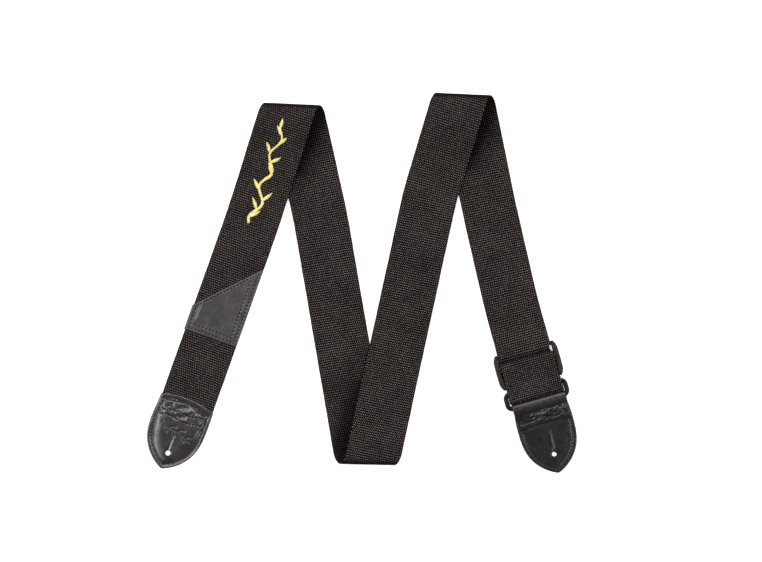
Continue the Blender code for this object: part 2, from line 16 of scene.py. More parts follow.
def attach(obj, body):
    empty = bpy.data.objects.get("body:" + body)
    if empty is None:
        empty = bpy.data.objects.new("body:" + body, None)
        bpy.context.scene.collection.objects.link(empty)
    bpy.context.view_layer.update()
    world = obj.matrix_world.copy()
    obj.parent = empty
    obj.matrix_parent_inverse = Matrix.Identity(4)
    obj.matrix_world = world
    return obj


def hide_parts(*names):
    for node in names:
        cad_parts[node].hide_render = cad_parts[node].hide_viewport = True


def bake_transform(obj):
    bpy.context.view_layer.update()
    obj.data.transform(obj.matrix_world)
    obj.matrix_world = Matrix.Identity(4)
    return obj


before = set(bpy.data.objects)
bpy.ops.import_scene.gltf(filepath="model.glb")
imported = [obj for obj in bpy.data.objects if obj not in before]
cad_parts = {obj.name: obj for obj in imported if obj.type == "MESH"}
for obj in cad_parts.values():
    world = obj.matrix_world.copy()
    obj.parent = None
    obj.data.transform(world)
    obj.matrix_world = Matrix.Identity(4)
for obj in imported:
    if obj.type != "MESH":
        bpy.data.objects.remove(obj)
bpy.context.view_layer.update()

# ---- the part's dimensions (metres, degrees)
WEB_W = 0.050           # webbing width and thickness
WEB_T = 0.0018
AIR = 0.0003            # clearance between touching pieces
LAY = WEB_T + 0.0004    # rise of a layer that lies on another one
START = (-0.1608, -0.1110)   # webbing's centre at the mouth of leather end A, and its direction there
HEADING = 70.4
# each leg: length, in-plane turns (centre, span, degrees)
LEGS = (
    (0.2802, ((0.177, 0.040, 1.7),)),
    (0.3150, ((0.095, 0.040, -2.85),)),
    (0.3286, ((0.2418, 0.030, -4.4),)),
    (0.2450, ((0.095, 0.070, 1.6), (0.188, 0.060, 2.6))),
)
# each fold: heading of the next leg, bend radius, sideways creep, reach of the sag, reach of the overlap
FOLDS = (
    (-77.4, 0.010, 0.0021, 0.066, 0.079),
    (77.7, 0.010, 0.0060, 0.078, 0.126),
    (-78.6, 0.010, 0.0027, 0.070, 0.084),
)
DROP = 0.030            # length over which a layer steps down past an overlap

LEATHER_T = 0.0015
LEATHER_HALF = 0.0264   # half width of both leather ends at their widest
END_A_LENGTH = 0.0644
END_A_HEADING = 248.0
END_A_MOUTH = 0.0258    # half width at the mouth
END_A_ARCH = 0.0042     # height of the arched mouth edge
HINGE_A = 0.0065        # s of the line where end A bends up
INSERT = 0.024          # webbing sewn inside end A
RISE_A = (0.045, 0.009)      # the webbing climbs onto the back leather between these s
HOLE_A = (0.0488, 0.0004)    # button hole of end A, and the top of its slit
SLIT_A = 0.0316

SLIDER_LONG = 0.033
SLIDER_WIDE = 0.060
RAIL = 0.0046           # width and height of the slider's side rails
RAIL_H = 0.0046
BAR_W = 0.0040
BAR_H = 0.0030
BAR_Z = 0.0040          # height of the two outer bars' centre
MID_W = -0.0035         # place of the middle bar
MID_Z = 0.0058
RING_R = 0.0022         # ring rod radius
RING_HALF = 0.0283      # half width to the rod's centre
RING_Z = 0.0044
RING_UP = 0.0210        # upper and lower rod, from the slider's centre
RING_LOW = 0.0346
TURN_W = 0.0263         # centre of the webbing's turn in the ring
BRIDGE_END = -0.0010    # the webbing goes over the slider's first bar and is split here
TAIL_END = 0.0100

END_B_LENGTH = 0.0680
END_B_MOUTH = 0.0254
END_B_JOINT = 0.0120    # the wrap's lower end meets the back leather here
FLAP = 0.0212           # the flap of end B ends here, from the lower rod
FLAP_SEAM = 0.0205      # half length of the seam through the flap
HOLE_B = (0.0508, 0.0)
SLIT_B = 0.0337
HOLE_R = 0.0026         # worn edges close in on the hole; the CAD part has it at 3.0 mm
SLIT = 0.0002           # a closed cut; the CAD part opens it to 0.8 mm

POCKET_LOW = 0.0637     # s of the pocket's lower edge and of its mouth at the left and right edge
POCKET_LEFT = 0.0870
POCKET_RIGHT = 0.1402
POCKET_T = 0.0012
MOTIF = (0.176, 0.268)  # s range of the embroidered sprig

# ---- sizes of the fine detail
RIB = 0.00218            # pitch of the webbing's cross ribs
RETURN_RIB = 0.0019      # the same on the strap's other face, which shows on the return
YARN = 0.000925          # pitch and number of its lengthwise yarns
YARNS = 54
PAINTED_SHADE_REACH = 0.026          # reach of the painted shade beside a fold's upper layer
STITCH = 0.0031          # pitch of the leather's stitches
POCKET_STITCH = 0.0034   # the same on the pocket
THREAD = 0.00036         # sewing thread's radius
UP = (0.0, 0.0, 1.0)
BACK_SEAM = 0.00022      # height of the stitches under the leather ends
SATIN = 0.00036          # pitch of the embroidery's stitches


# ---- webbing geometry
def smooth(x):
    """0 to 1 with flat ends."""
    x = np.clip(x, 0.0, 1.0)
    return x * x * (3.0 - 2.0 * x)


def bell(x, width):
    return np.exp(-((x / width) ** 2))


def unit(degrees):
    a = math.radians(degrees)
    return np.array([math.cos(a), math.sin(a)])


def straight(rows):
    """Vectors scaled to length 1."""
    return rows / np.linalg.norm(rows, axis=-1, keepdims=True)


def run_along(path):
    """Length along a path at each of its points."""
    return np.concatenate([[0.0], np.cumsum(np.linalg.norm(np.diff(path, axis=0), axis=1))])


def at_length(at, run, path):
    """Points of a two-column path at given lengths along it."""
    return np.stack([np.interp(at, run, path[:, i]) for i in (0, 1)], -1)


def twice_area(p):
    """Twice the signed area of a closed outline."""
    return np.sum(p[:, 0] * np.roll(p[:, 1], -1) - p[:, 1] * np.roll(p[:, 0], -1))


class Leg:
    """One leg's centreline in plan, carried on past both ends; side is +1 with the front face up."""

    def __init__(self, start, heading, length, turns, side):
        self.u = np.arange(-0.09, length + 0.09, 0.0005)
        angle = np.full_like(self.u, heading)
        for centre, span, change in turns:
            angle = angle + change * smooth((self.u - centre) / span + 0.5)
        self.angle = np.radians(angle)
        step = np.stack([np.cos(self.angle), np.sin(self.angle)], 1) * 0.0005
        way = np.vstack([[0.0, 0.0], np.cumsum((step[1:] + step[:-1]) / 2, 0)])
        self.way = way - at_length(0.0, self.u, way) + np.asarray(start)
        self.length, self.side = length, side
        self.end_heading = heading + sum(t[2] for t in turns)

    def plan(self, u, v):
        a = np.interp(u, self.u, self.angle)
        off = np.asarray(v * self.side)[..., None]
        return at_length(u, self.u, self.way) + off * np.stack([-np.sin(a), np.cos(a)], -1)


class Fold:
    """A soft fold: the strip wraps a half cylinder whose edge is the crease line through q."""

    def __init__(self, leg, next_heading, radius, creep, sag, overlap):
        self.q = leg.plan(np.array(leg.length), np.array(0.0))
        self.t = unit((leg.end_heading + next_heading) / 2)
        self.n = np.array([-self.t[1], self.t[0]])
        go = unit(leg.end_heading)
        if self.n @ go < 0:
            self.n = -self.n
        if self.t[0] < 0:
            self.t = -self.t
        self.r, self.creep, self.sag, self.overlap = radius, creep, sag, overlap
        self.arc = math.pi * radius
        self.length = self.arc / (self.n @ go)
        self.start = self.q + self.t * (self.length * (self.t @ go) + creep)
        self.top_first = leg.side > 0

    def height(self, dist):
        """Lift of the upper layer at a distance from the crease."""
        h = LAY + (2 * self.r - LAY) * (1 - smooth(dist / self.sag))
        return h * (1 - smooth((dist - self.overlap) / DROP))


LEG, FOLD, S0 = [], [], []
_start, _heading, _side, _s = START, HEADING, 1, 0.0
for _i, (_length, _turns) in enumerate(LEGS):
    LEG.append(Leg(_start, _heading, _length, _turns, _side))
    S0.append(_s)
    if _i < len(FOLDS):
        FOLD.append(Fold(LEG[-1], *FOLDS[_i]))
        _start, _heading, _side = FOLD[-1].start, FOLDS[_i][0], -_side
        _s += _length + FOLD[-1].length
S_SLIDER = S0[3] + LEGS[3][0]


def bridge_lift(w):
    """The webbing climbs over the slider's first bar, then dives under the middle one."""
    high = BAR_Z + BAR_H / 2 + AIR
    return high * smooth((w + 0.045) / 0.028) * (1 - smooth((w + 0.0135) / 0.008))


def web_mid(s, v):
    """Middle surface of the webbing, for arrays of s and v."""
    s, v = np.broadcast_arrays(np.asarray(s, float), np.asarray(v, float))
    out = np.zeros(s.shape + (3,))
    which = np.zeros(s.shape, int)
    bend = np.full(s.shape, -1)
    depth = np.zeros(s.shape)
    for k, f in enumerate(FOLD):
        s_mid = S0[k] + LEGS[k][0] + f.length / 2
        near = np.abs(s - s_mid) < 0.05
        d = (LEG[k].plan(s - S0[k], v) - f.q) @ f.n
        inside = near & (d > 0) & (d < f.arc)
        bend[inside], depth[inside] = k, d[inside]
        which[np.where(near, d >= f.arc, s > s_mid)] = k + 1
    for k, leg in enumerate(LEG):
        on = (which == k) & (bend < 0)
        p = leg.plan(s[on] - S0[k], v[on])
        z = np.full(len(p), WEB_T / 2)
        if k == 0:
            z += (LEATHER_T + AIR) * smooth((RISE_A[0] - s[on]) / (RISE_A[0] - RISE_A[1]))
        if k in (0, 2):
            z += FOLD[k].height(-(p - FOLD[k].q) @ FOLD[k].n)
        if k == 2:
            z += FOLD[1].height(-(p - FOLD[1].q) @ FOLD[1].n)
        if k == 3:
            z += bridge_lift(s[on] - S_SLIDER)
        out[on, :2], out[on, 2] = p, z
    for k, f in enumerate(FOLD):
        on = bend == k
        p = LEG[k].plan(s[on] - S0[k], v[on]) - f.q
        d = depth[on]
        along = p @ f.t + f.creep * smooth(d / f.arc)
        out[on, :2] = f.q + along[:, None] * f.t + (f.r * np.sin(d / f.r))[:, None] * f.n
        out[on, 2] = WEB_T / 2 + f.r * (1 + (1 if f.top_first else -1) * np.cos(d / f.r))
    return out


def web_point(s, v, n):
    """A point n off the middle surface, towards the front face."""
    e = 0.0004
    ds = web_mid(s + e, v) - web_mid(s - e, v)
    dv = web_mid(s, v + e) - web_mid(s, v - e)
    return web_mid(s, v) + straight(np.cross(ds, dv)) * np.asarray(n)[..., None]


class Frame:
    """Plan frame: w runs outward along the strap, c runs across it, z is world height."""

    def __init__(self, origin, heading):
        self.o = np.asarray(origin, float)
        self.a = unit(heading)
        self.c = np.array([-self.a[1], self.a[0]])

    def at(self, w, c, z):
        w, c, z = np.broadcast_arrays(w, c, z)
        p = self.o + w[..., None] * self.a + c[..., None] * self.c
        return np.concatenate([p, z[..., None]], -1)


END_A = Frame(START, END_A_HEADING)
SLIDER = Frame(LEG[3].plan(np.array(LEGS[3][0]), np.array(0.0)), LEG[3].end_heading)
END_B = Frame(SLIDER.at(RING_LOW, 0.0006, 0.0)[:2], LEG[3].end_heading)


class Way:
    """A strip that follows a (w, z) path in the slider's frame; s is measured along the path."""

    def __init__(self, path, where):
        self.p = np.array(path, float)
        self.s = run_along(self.p)
        self.length = self.s[-1]
        self.where = where

    def __call__(self, s, v, n):
        p, after, before = (at_length(np.clip(s + e, 0, self.length), self.s, self.p)
                            for e in (0, 0.0005, -0.0005))
        go = straight(after - before)
        return self.where.at(p[..., 0] - go[..., 1] * n, v, p[..., 1] + go[..., 0] * n)


def arc(w, z, radius, first, last, steps):
    """Points (w, z) of an arc, with angles in degrees."""
    return [(w + radius * math.cos(math.radians(a)), z + radius * math.sin(math.radians(a)))
            for a in np.linspace(first, last, steps)]


def over(w):
    """Height of the return webbing's middle above the slider, as a function of w."""
    base = BAR_Z + BAR_H / 2 + WEB_T / 2 + AIR + 0.00005
    top = RING_Z + RING_Z - WEB_T / 2
    near = (top - base) * float(smooth((w - 0.015) / 0.008))
    return base + near + (MID_Z + BAR_H / 2 + WEB_T / 2 + AIR - base) * float(smooth((0.014 - w) / 0.015))


# ---- mesh helpers
def ripple(x, y, size, seed, waves=7):
    """Smooth irregular relief, mostly between -1 and 1, with features of a given size."""
    rng = np.random.default_rng(seed)
    total = 0.0
    for _ in range(waves):
        a, b = rng.uniform(0, math.tau, 2)
        k = math.tau / (size * rng.uniform(0.7, 1.5))
        total = total + np.sin(k * (x * math.cos(a) + y * math.sin(a)) + b)
    return total / math.sqrt(waves)


def show(name, data):
    """A new object in the scene."""
    obj = bpy.data.objects.new(name, data)
    bpy.context.scene.collection.objects.link(obj)
    return obj


def ride_for(obj, body, *nodes):
    """Fixes a piece to a body, in place of the CAD nodes it details."""
    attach(obj, body)
    if nodes:
        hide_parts(*nodes)
    return obj


def make_piece(name, verts, faces, mat, marks=None, sharp=50):
    """A closed mesh piece with outward faces; marks are per-vertex numbers that its material reads."""
    verts = np.asarray(verts, float)
    fan = np.array([(f[0], f[i], f[i + 1]) for f in faces for i in range(1, len(f) - 1)])
    a, b, c = (verts[fan[:, i]] for i in range(3))
    if np.einsum("ij,ij->i", a, np.cross(b, c)).sum() < 0:
        faces = [list(f)[::-1] for f in faces]
    mesh = bpy.data.meshes.new(name)
    mesh.from_pydata(verts.tolist(), [], [list(f) for f in faces])
    for mark, values in (marks or {}).items():
        attribute = mesh.attributes.new(mark, "FLOAT", "POINT")
        attribute.data.foreach_set("value", np.asarray(values, np.float32))
    mesh.materials.append(mat)
    mesh.shade_smooth()
    mesh.set_sharp_from_angle(angle=math.radians(sharp))
    obj = show(name, mesh)
    return obj


def tube_faces(rings, sides, base=0):
    """Faces of a capped tube of rings, as lists of vertex numbers."""
    faces = []
    for i in range(rings - 1):
        for j in range(sides):
            k = (j + 1) % sides
            a, b = base + i * sides, base + (i + 1) * sides
            faces.append((a + j, a + k, b + k, b + j))
    faces.append(tuple(range(base + sides - 1, base - 1, -1)))
    faces.append(tuple(range(base + (rings - 1) * sides, base + rings * sides)))
    return faces


def threads(name, lines, radius, mat):
    """Many short round threads in one mesh; lines is (threads, points, 3), thin at both ends."""
    lines, sides = np.asarray(lines, float), 6
    count, steps = lines.shape[:2]
    go = straight(np.gradient(lines, axis=1))
    side = straight(np.cross(UP, go))
    size = radius * (0.45 + 0.55 * np.sin(np.pi * np.linspace(0.02, 0.98, steps)) ** 0.5)
    angle = np.linspace(0, math.tau, sides, endpoint=False)
    across = side[:, :, None] * np.cos(angle)[None, None, :, None]
    above = np.cross(go, side)[:, :, None] * np.sin(angle)[None, None, :, None]
    rings = lines[:, :, None] + (across + above) * size[None, :, None, None]
    faces = []
    for i in range(count):
        faces += tube_faces(steps, sides, i * steps * sides)
    return make_piece(name, rings.reshape(-1, 3), faces, mat, sharp=70)


def sweep(name, path, section, mat, closed=False, sizes=None, widths=None):
    """A section, as (across, up) points, carried along a path of 3-D points."""
    path, section = np.asarray(path, float), np.asarray(section, float)
    go = straight(np.roll(path, -1, 0) - np.roll(path, 1, 0) if closed else np.gradient(path, axis=0))
    side = straight(np.cross(UP, go))
    sizes = np.ones(len(path)) if sizes is None else sizes
    widths = sizes if widths is None else widths
    rings = [p + a * section[:, :1] * wide + b * section[:, 1:] * tall
             for p, a, b, wide, tall in zip(path, side, np.cross(go, side), widths, sizes)]
    faces = tube_faces(len(path), len(section))
    if closed:
        faces = faces[:-2]
        last, m = (len(path) - 1) * len(section), len(section)
        faces += [(last + j, last + (j + 1) % m, (j + 1) % m, j) for j in range(m)]
    return make_piece(name, np.vstack(rings), faces, mat)


def within(points, polygon):
    """Which points lie inside a polygon."""
    x, y = points.T
    polygon = [tuple(p) for p in polygon]
    hit = np.zeros(len(points), bool)
    for (x0, y0), (x1, y1) in zip(polygon, polygon[1:] + polygon[:1]):
        if y0 != y1:
            hit ^= ((y0 > y) != (y1 > y)) & (x < (x1 - x0) * (y - y0) / (y1 - y0) + x0)
    return hit


def dense(loop, step):
    """A closed loop with points no further apart than step."""
    loop, out = [np.asarray(p, float) for p in loop], []
    for a, b in zip(loop, loop[1:] + loop[:1]):
        parts = max(1, math.ceil(np.linalg.norm(b - a) / step))
        out += [a + (b - a) * i / parts for i in range(parts)]
    return np.array(out)


def inset(points, by):
    """A closed outline moved inwards."""
    p = np.asarray(points, float)
    go = straight(np.roll(p, -1, 0) - np.roll(p, 1, 0))
    normal = np.stack([-go[:, 1], go[:, 0]], 1)
    return p + normal * by * (1 if twice_area(p) > 0 else -1)


def nearest(points, path):
    """Distance of each point to a path, and the length along the path where it is nearest."""
    path = np.asarray(path, float)
    length = run_along(path)
    fine = np.linspace(0, length[-1], max(2, int(length[-1] / 0.0003)))
    samples = at_length(fine, length, path)
    dist, place = np.empty(len(points)), np.empty(len(points))
    for i in range(0, len(points), 4000):
        gap = np.linalg.norm(points[i:i + 4000, None] - samples[None], axis=2)
        dist[i:i + 4000], place[i:i + 4000] = gap.min(1), fine[gap.argmin(1)]
    return dist, place


def loop_of(outline):
    """An outline with its first point again at the end."""
    return np.vstack([outline, outline[:1]])


def plate(name, outline, holes, lower, upper, mat, grid, dark=None):
    """A closed leather plate; its surfaces are functions of plan points and their distance to the rim."""
    rim = dense(outline, grid * 0.9)
    loops = [rim] + [dense(h, grid * 0.5) for h in holes]
    points, edges = [], []
    for loop in loops:
        base = len(points)
        points += [Vector(p) for p in loop]
        edges += [(base + i, base + (i + 1) % len(loop)) for i in range(len(loop))]
    low, high = rim.min(0), rim.max(0)
    nodes = [(x + (grid / 2 if j % 2 else 0), y)
             for j, y in enumerate(np.arange(low[1], high[1], grid * 0.87))
             for x in np.arange(low[0], high[0], grid)]
    bands = [inset(rim, d) for d in (0.0003, 0.0008)] + [inset(h, -0.0003) for h in loops[1:]]

    def edge_distance(p):
        return np.min([nearest(p, loop_of(loop))[0] for loop in loops], axis=0)

    def on_plate(p):
        inside = within(p, rim)
        for hole in loops[1:]:
            inside &= ~within(p, hole)
        return inside

    nodes = np.array(nodes)
    nodes = nodes[edge_distance(nodes) > 0.0008 + grid * 0.5]
    band = np.vstack(bands)
    nodes = np.vstack([band[edge_distance(band) > 0.0002], nodes])
    points += [Vector(p) for p in nodes[on_plate(nodes)]]
    verts, _, tris, _, _, _ = delaunay_2d_cdt(points, edges, [], 0, 1e-7)
    flat, tris = np.array([tuple(p) for p in verts]), np.array([tuple(f) for f in tris])
    tris = tris[on_plate(flat[tris].mean(1))]
    used = np.unique(tris)
    index = np.zeros(len(flat), int)
    index[used] = np.arange(len(used))
    flat, tris = flat[used], index[tris]
    count = len(flat)
    edge = np.vstack([tris[:, [0, 1]], tris[:, [1, 2]], tris[:, [2, 0]]])
    pairs = {tuple(e) for e in edge}
    faces = [tuple(t) for t in tris + count] + [tuple(t[::-1]) for t in tris]
    faces += [(a, b, b + count, a + count) for a, b in pairs if (b, a) not in pairs]
    dist = nearest(flat, loop_of(rim))[0]
    # The dark mark on the upper face holds print and the painted shadow of stitches.
    pressed = np.zeros(count) if dark is None else np.clip(dark(flat), 0, 1)
    marks = {"dark": np.concatenate([np.zeros(count), pressed])}
    return make_piece(name, np.vstack([lower(flat, dist), upper(flat, dist)]), faces, mat,
                      marks)


# ---- materials
class Nodes:
    """A Principled material and short ways to add nodes to it."""

    def __init__(self, name, color, roughness, **sockets):
        self.mat = bpy.data.materials.new(name)
        self.mat.use_nodes = True
        self.tree = self.mat.node_tree
        self.shader = self.tree.nodes["Principled BSDF"]
        self.shader.inputs["Base Color"].default_value = (*color, 1.0)
        self.shader.inputs["Roughness"].default_value = roughness
        for socket, value in sockets.items():
            self.shader.inputs[socket.replace("_", " ")].default_value = value

    def add(self, kind, inputs=None, **settings):
        node = self.tree.nodes.new(kind)
        for key, value in settings.items():
            setattr(node, key, value)
        for key, value in (inputs or {}).items():
            if isinstance(value, bpy.types.NodeSocket):
                self.tree.links.new(value, node.inputs[key])
            else:
                node.inputs[key].default_value = value
        return node

    def math(self, operation, a, b):
        return self.add("ShaderNodeMath", {0: a, 1: b}, operation=operation).outputs[0]

    def attribute(self, name):
        return self.add("ShaderNodeAttribute", attribute_name=name).outputs["Fac"]

    def place(self):
        """The piece's own coordinates, in millimetres."""
        coordinates = self.add("ShaderNodeTexCoord").outputs["Object"]
        mapping = self.add("ShaderNodeMapping", {"Vector": coordinates, "Scale": (1000.0, 1000.0, 1000.0)})
        return mapping.outputs["Vector"]

    def noise(self, vector, scale, detail):
        made = self.add("ShaderNodeTexNoise", {"Vector": vector, "Scale": scale, "Detail": detail,
                                               "Roughness": 0.55})
        return made.outputs["Fac"]

    def spread(self, value, low, high, to_low=0.0, to_high=1.0):
        made = self.add("ShaderNodeMapRange", {"Value": value, "From Min": low, "From Max": high,
                                               "To Min": to_low, "To Max": to_high})
        return made.outputs["Result"]

    def blend(self, factor, a, b):
        """A colour between two, each a socket or three numbers."""
        a, b = (c if isinstance(c, bpy.types.NodeSocket) else (*c, 1.0) for c in (a, b))
        return self.add("ShaderNodeMix", {0: factor, 6: a, 7: b}, data_type="RGBA").outputs[2]

    def bump(self, height, distance, strength):
        made = self.add("ShaderNodeBump", {"Height": height, "Distance": distance, "Strength": strength})
        return made.outputs["Normal"]

    def wire(self, socket, value):
        self.tree.links.new(value, self.shader.inputs[socket])


def webbing_material():
    m = Nodes("woven_webbing", (0.02, 0.018, 0.018), 0.62, Specular_IOR_Level=0.0)
    along = m.math("MULTIPLY", m.attribute("web_s"), 1000.0)
    across = m.math("MULTIPLY", m.attribute("web_v"), 1000.0)
    flat = m.add("ShaderNodeCombineXYZ", {"X": along, "Y": across}).outputs[0]
    fibres = m.add("ShaderNodeCombineXYZ", {"X": m.math("MULTIPLY", along, 0.8),
                                            "Y": m.math("MULTIPLY", across, 7.0)}).outputs[0]
    # Painted light: the raised yarn crowns get a painted sheen, and the grooves between them a painted
    # shade near black; speck and patch vary the tone at random.
    crown = m.math("POWER", m.attribute("crown"), 3.0)
    fibre = m.noise(fibres, 1.0, 2.0)
    patch = m.noise(flat, 0.035, 3.0)
    speck = m.noise(flat, 0.75, 1.0)
    light = m.math("MULTIPLY", crown, m.spread(speck, 0.38, 0.64, 0.5, 1.4))
    light = m.math("MULTIPLY", light, m.spread(patch, 0.3, 0.7, 0.75, 1.2))
    # Painted shade: beside each fold's upper layer the crowns are darkened.
    light = m.math("MULTIPLY", light, m.spread(m.attribute("painted_fold_shade"), 0.0, 1.0, 1.0, 0.3))
    # Painted shade: the groove colour, near black, stands in for the shade between the ribs.
    groove = m.blend(m.spread(patch, 0.35, 0.65), (0.0008, 0.0005, 0.0005), (0.002, 0.0012, 0.001))
    body = m.blend(m.spread(crown, 0.0, 0.35), groove, (0.0036, 0.0025, 0.0023))
    m.wire("Base Color", m.blend(light, body, (0.25, 0.212, 0.2)))
    m.wire("Roughness", m.spread(fibre, 0.3, 0.7, 0.52, 0.78))
    m.wire("Normal", m.bump(fibre, 0.00012, 0.9))
    return m.mat


def leather_material(name, dark, light, roughness, shine):
    m = Nodes(name, light, roughness, Specular_IOR_Level=shine)
    place = m.place()
    cells = m.add("ShaderNodeTexVoronoi", {"Vector": place, "Scale": 1.35}, feature="DISTANCE_TO_EDGE")
    pores = m.noise(place, 4.5, 2.0)
    cloud = m.noise(place, 0.11, 4.0)
    tone = m.blend(m.spread(cloud, 0.3, 0.7), dark, light)
    # The dark mark darkens the colour: print is the leather's own, the rest is painted shadow of stitches
    # and of the wrap's seam crease.
    pressed = m.attribute("dark")
    m.wire("Base Color", m.blend(pressed, tone, (0.0025, 0.0022, 0.0022)))
    satin = m.spread(m.noise(place, 0.35, 3.0), 0.3, 0.7, roughness - 0.06, roughness + 0.09)
    m.wire("Roughness", m.math("ADD", satin, m.math("MULTIPLY", pressed, 0.35)))
    grain = m.math("ADD", m.spread(cells.outputs[0], 0.0, 0.22), m.math("MULTIPLY", pores, 0.5))
    m.wire("Normal", m.bump(grain, 0.000016, 0.35))
    return m.mat


def hard_material(name, color, typical, shine, cloud, roughness, grain, depth, strength):
    """Moulded plastic or coated metal: an uneven sheen and a fine grain."""
    m = Nodes(name, color, typical, Specular_IOR_Level=shine)
    place = m.place()
    m.wire("Roughness", m.spread(m.noise(place, cloud, 3.0), 0.3, 0.7, *roughness))
    m.wire("Normal", m.bump(m.noise(place, grain, 2.0), depth, strength))
    return m.mat


def thread_material(name, dark, light, roughness, shine, twist=2.2):
    m = Nodes(name, light, roughness, Specular_IOR_Level=shine)
    place = m.place()
    m.wire("Base Color", m.blend(m.spread(m.noise(place, 0.5, 3.0), 0.3, 0.7), dark, light))
    m.wire("Normal", m.bump(m.noise(place, twist, 1.0), 0.00008, 0.6))
    return m.mat


# ---- webbing pieces
def painted_fold_shade(points):
    """How far a point is shaded from beside and above by a fold's upper layer, 0 to 1.

    The folds never open, so the webbing's colour carries this soft shade as painted shade, in place of a
    cast shadow.
    """
    deepest = np.zeros(len(points))
    for i, fold in enumerate(FOLD):
        upper = LEG[i if fold.top_first else i + 1].way[::16]
        beside = np.linalg.norm(points[:, None, :2] - upper[None], axis=2).min(1) - WEB_W / 2
        lift = fold.height(-(points[:, :2] - fold.q) @ fold.n)
        below = smooth((lift - points[:, 2] + 0.0004) / 0.003)
        deepest = np.maximum(deepest, below * smooth(1 - beside / PAINTED_SHADE_REACH))
    return deepest


def webbing(name, first, last, place, mat, pitch=RIB):
    """Ribbed webbing from s = first to last: cross ribs, staggered yarn crowns, soft selvedges."""
    step = pitch / 3
    rows = np.arange(math.ceil(first / step - 0.01) + 1, math.floor(last / step + 0.01))
    s = np.concatenate([[first], rows * step, [last]])
    phase = np.concatenate([[0], rows % 3, [0]])
    rib = np.concatenate([[rows[0] // 3], rows // 3, [rows[-1] // 3]])
    yarn = np.arange(YARNS)
    v = (yarn - (YARNS - 1) / 2) * YARN
    crest = (phase > 0)[:, None]
    up = ((yarn[None] + rib[:, None]) % 2 == 0)
    top = np.where(crest, np.where(up, 1.0, 0.15), 0.0)
    selvedge = 1 - 0.5 * smooth((np.abs(v) - WEB_W / 2 + 0.0022) / 0.0016)[None]
    relief = WEB_T / 2 - 0.0005 * selvedge + 0.0006 * top * selvedge
    relief += 0.00004 * ripple(s[:, None], v[None], 0.009, 3)
    bulge = np.where(phase > 0, 0.00012, -0.0001)
    edge = WEB_W / 2 + bulge + 0.00006 * ripple(s, 0 * s, 0.02, 5)
    grid_s = np.repeat(s[:, None], YARNS, 1)
    grid_v = np.repeat(v[None], len(s), 0) + 0.00005 * ripple(grid_s, v[None], 0.007, 4)

    def around(left, upper, right, lower):
        """One ring of the strip at each s: left edge, upper face, right edge, lower face."""
        return np.concatenate([left[:, None], upper, right[:, None], lower[:, ::-1]], 1)

    rings = around(place(s, -edge, 0 * s), place(grid_s, grid_v, relief),
                   place(s, edge, 0 * s), place(grid_s, grid_v, -relief))
    size = rings.shape[1]
    # The crown mark places the material's painted sheen on the yarn crowns and its painted shade in the
    # grooves.
    crown = around(0.5 * crest[:, 0], top, 0.5 * crest[:, 0], top)
    all_v = around(-edge, grid_v, edge, grid_v)
    points = rings.reshape(-1, 3)
    # The fold mark is painted shade beside each fold's upper layer.
    marks = {"web_s": np.repeat(s, size), "web_v": all_v.ravel(), "crown": crown.ravel(),
             "painted_fold_shade": painted_fold_shade(points)}
    return make_piece(name, points, tube_faces(len(s), size), mat, marks, sharp=75)


def pinched(s, v, n):
    """The webbing beside the slider: drawn in at one edge where it dives in, wider at the other."""
    near = bell(s - S_SLIDER + 0.0108, 0.0036) * smooth((0.004 - v) / 0.029)
    wide = 1 + 0.012 * smooth((s - S_SLIDER + 0.03) / 0.012) * smooth((v + 0.01) / 0.01)
    return web_point(s, v * wide + 0.0019 * near, n)


def build_webbing(mat):
    """The one strap of webbing, in several lengths; legs 1 to 3 ride the strap's body."""
    first_split, under_1, under_2, under_3 = (
        round(s / RIB) * RIB for s in (0.03, S0[1] + 0.03, S0[2] - FOLD[1].length - 0.012, S0[3] + 0.03))
    spans = (
        ("webbing_at_end_a", -INSERT, first_split),
        ("webbing_leg_1", first_split, under_1),
        ("webbing_leg_2", under_1, under_2),
        ("webbing_leg_3", under_2, under_3),
        ("webbing_leg_4", under_3, S_SLIDER + BRIDGE_END),
    )
    made = {}
    for name, first, last in spans:
        made[name] = webbing(name, first, last, pinched if name == "webbing_leg_4" else web_point, mat)
    for name in ("webbing_leg_1", "webbing_leg_2", "webbing_leg_3"):
        ride_for(made[name], "strap", "webbing_main")

    end = made["webbing_at_end_a"]
    near, far = web_point(np.array([HINGE_A + 0.0022, HINGE_A - 0.0026]), np.zeros(2), np.zeros(2))
    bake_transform(end)
    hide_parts("webbing_end_a")

    leg = made["webbing_leg_4"]
    SLIDER.at(-0.205, 0.0, 0.0)
    SLIDER.at(-0.045, 0.0, 0.0)
    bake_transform(leg)
    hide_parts("webbing_run_upper", "webbing_bridge")

    bend = RING_Z - WEB_T / 2
    around = BAR_H / 2 + AIR + WEB_T / 2
    left = MID_W - BAR_W / 2 + BAR_H / 2
    path = [(w, WEB_T / 2) for w in np.linspace(BRIDGE_END + AIR, TURN_W - 0.0002, 9)]
    path += arc(TURN_W, RING_Z, bend, -88, 88, 25)
    path += [(w, over(w)) for w in np.linspace(TURN_W - 0.0003, left + 0.0006, 24)]
    path += arc(left, MID_Z, around, 88, 270, 25)
    path += [(w, MID_Z - around) for w in np.linspace(left + 0.001, TAIL_END, 6)]
    way = Way(path, SLIDER)

    def spread(s, v, n):
        """The webbing spreads a little where it lies inside the ring."""
        w = np.interp(s, way.s, way.p[:, 0])
        return way(s, v * (1.011 + 0.018 * smooth((w - 0.012) / 0.01)), n)

    back = webbing("webbing_return_and_loop", 0.0, way.length, spread, mat, RETURN_RIB)
    SLIDER.at(0.002, 0.0, 0.0)
    SLIDER.at(0.0235, 0.0, 0.0)
    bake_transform(back)
    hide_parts("webbing_run_lower", "webbing_return", "webbing_turn", "webbing_loop")


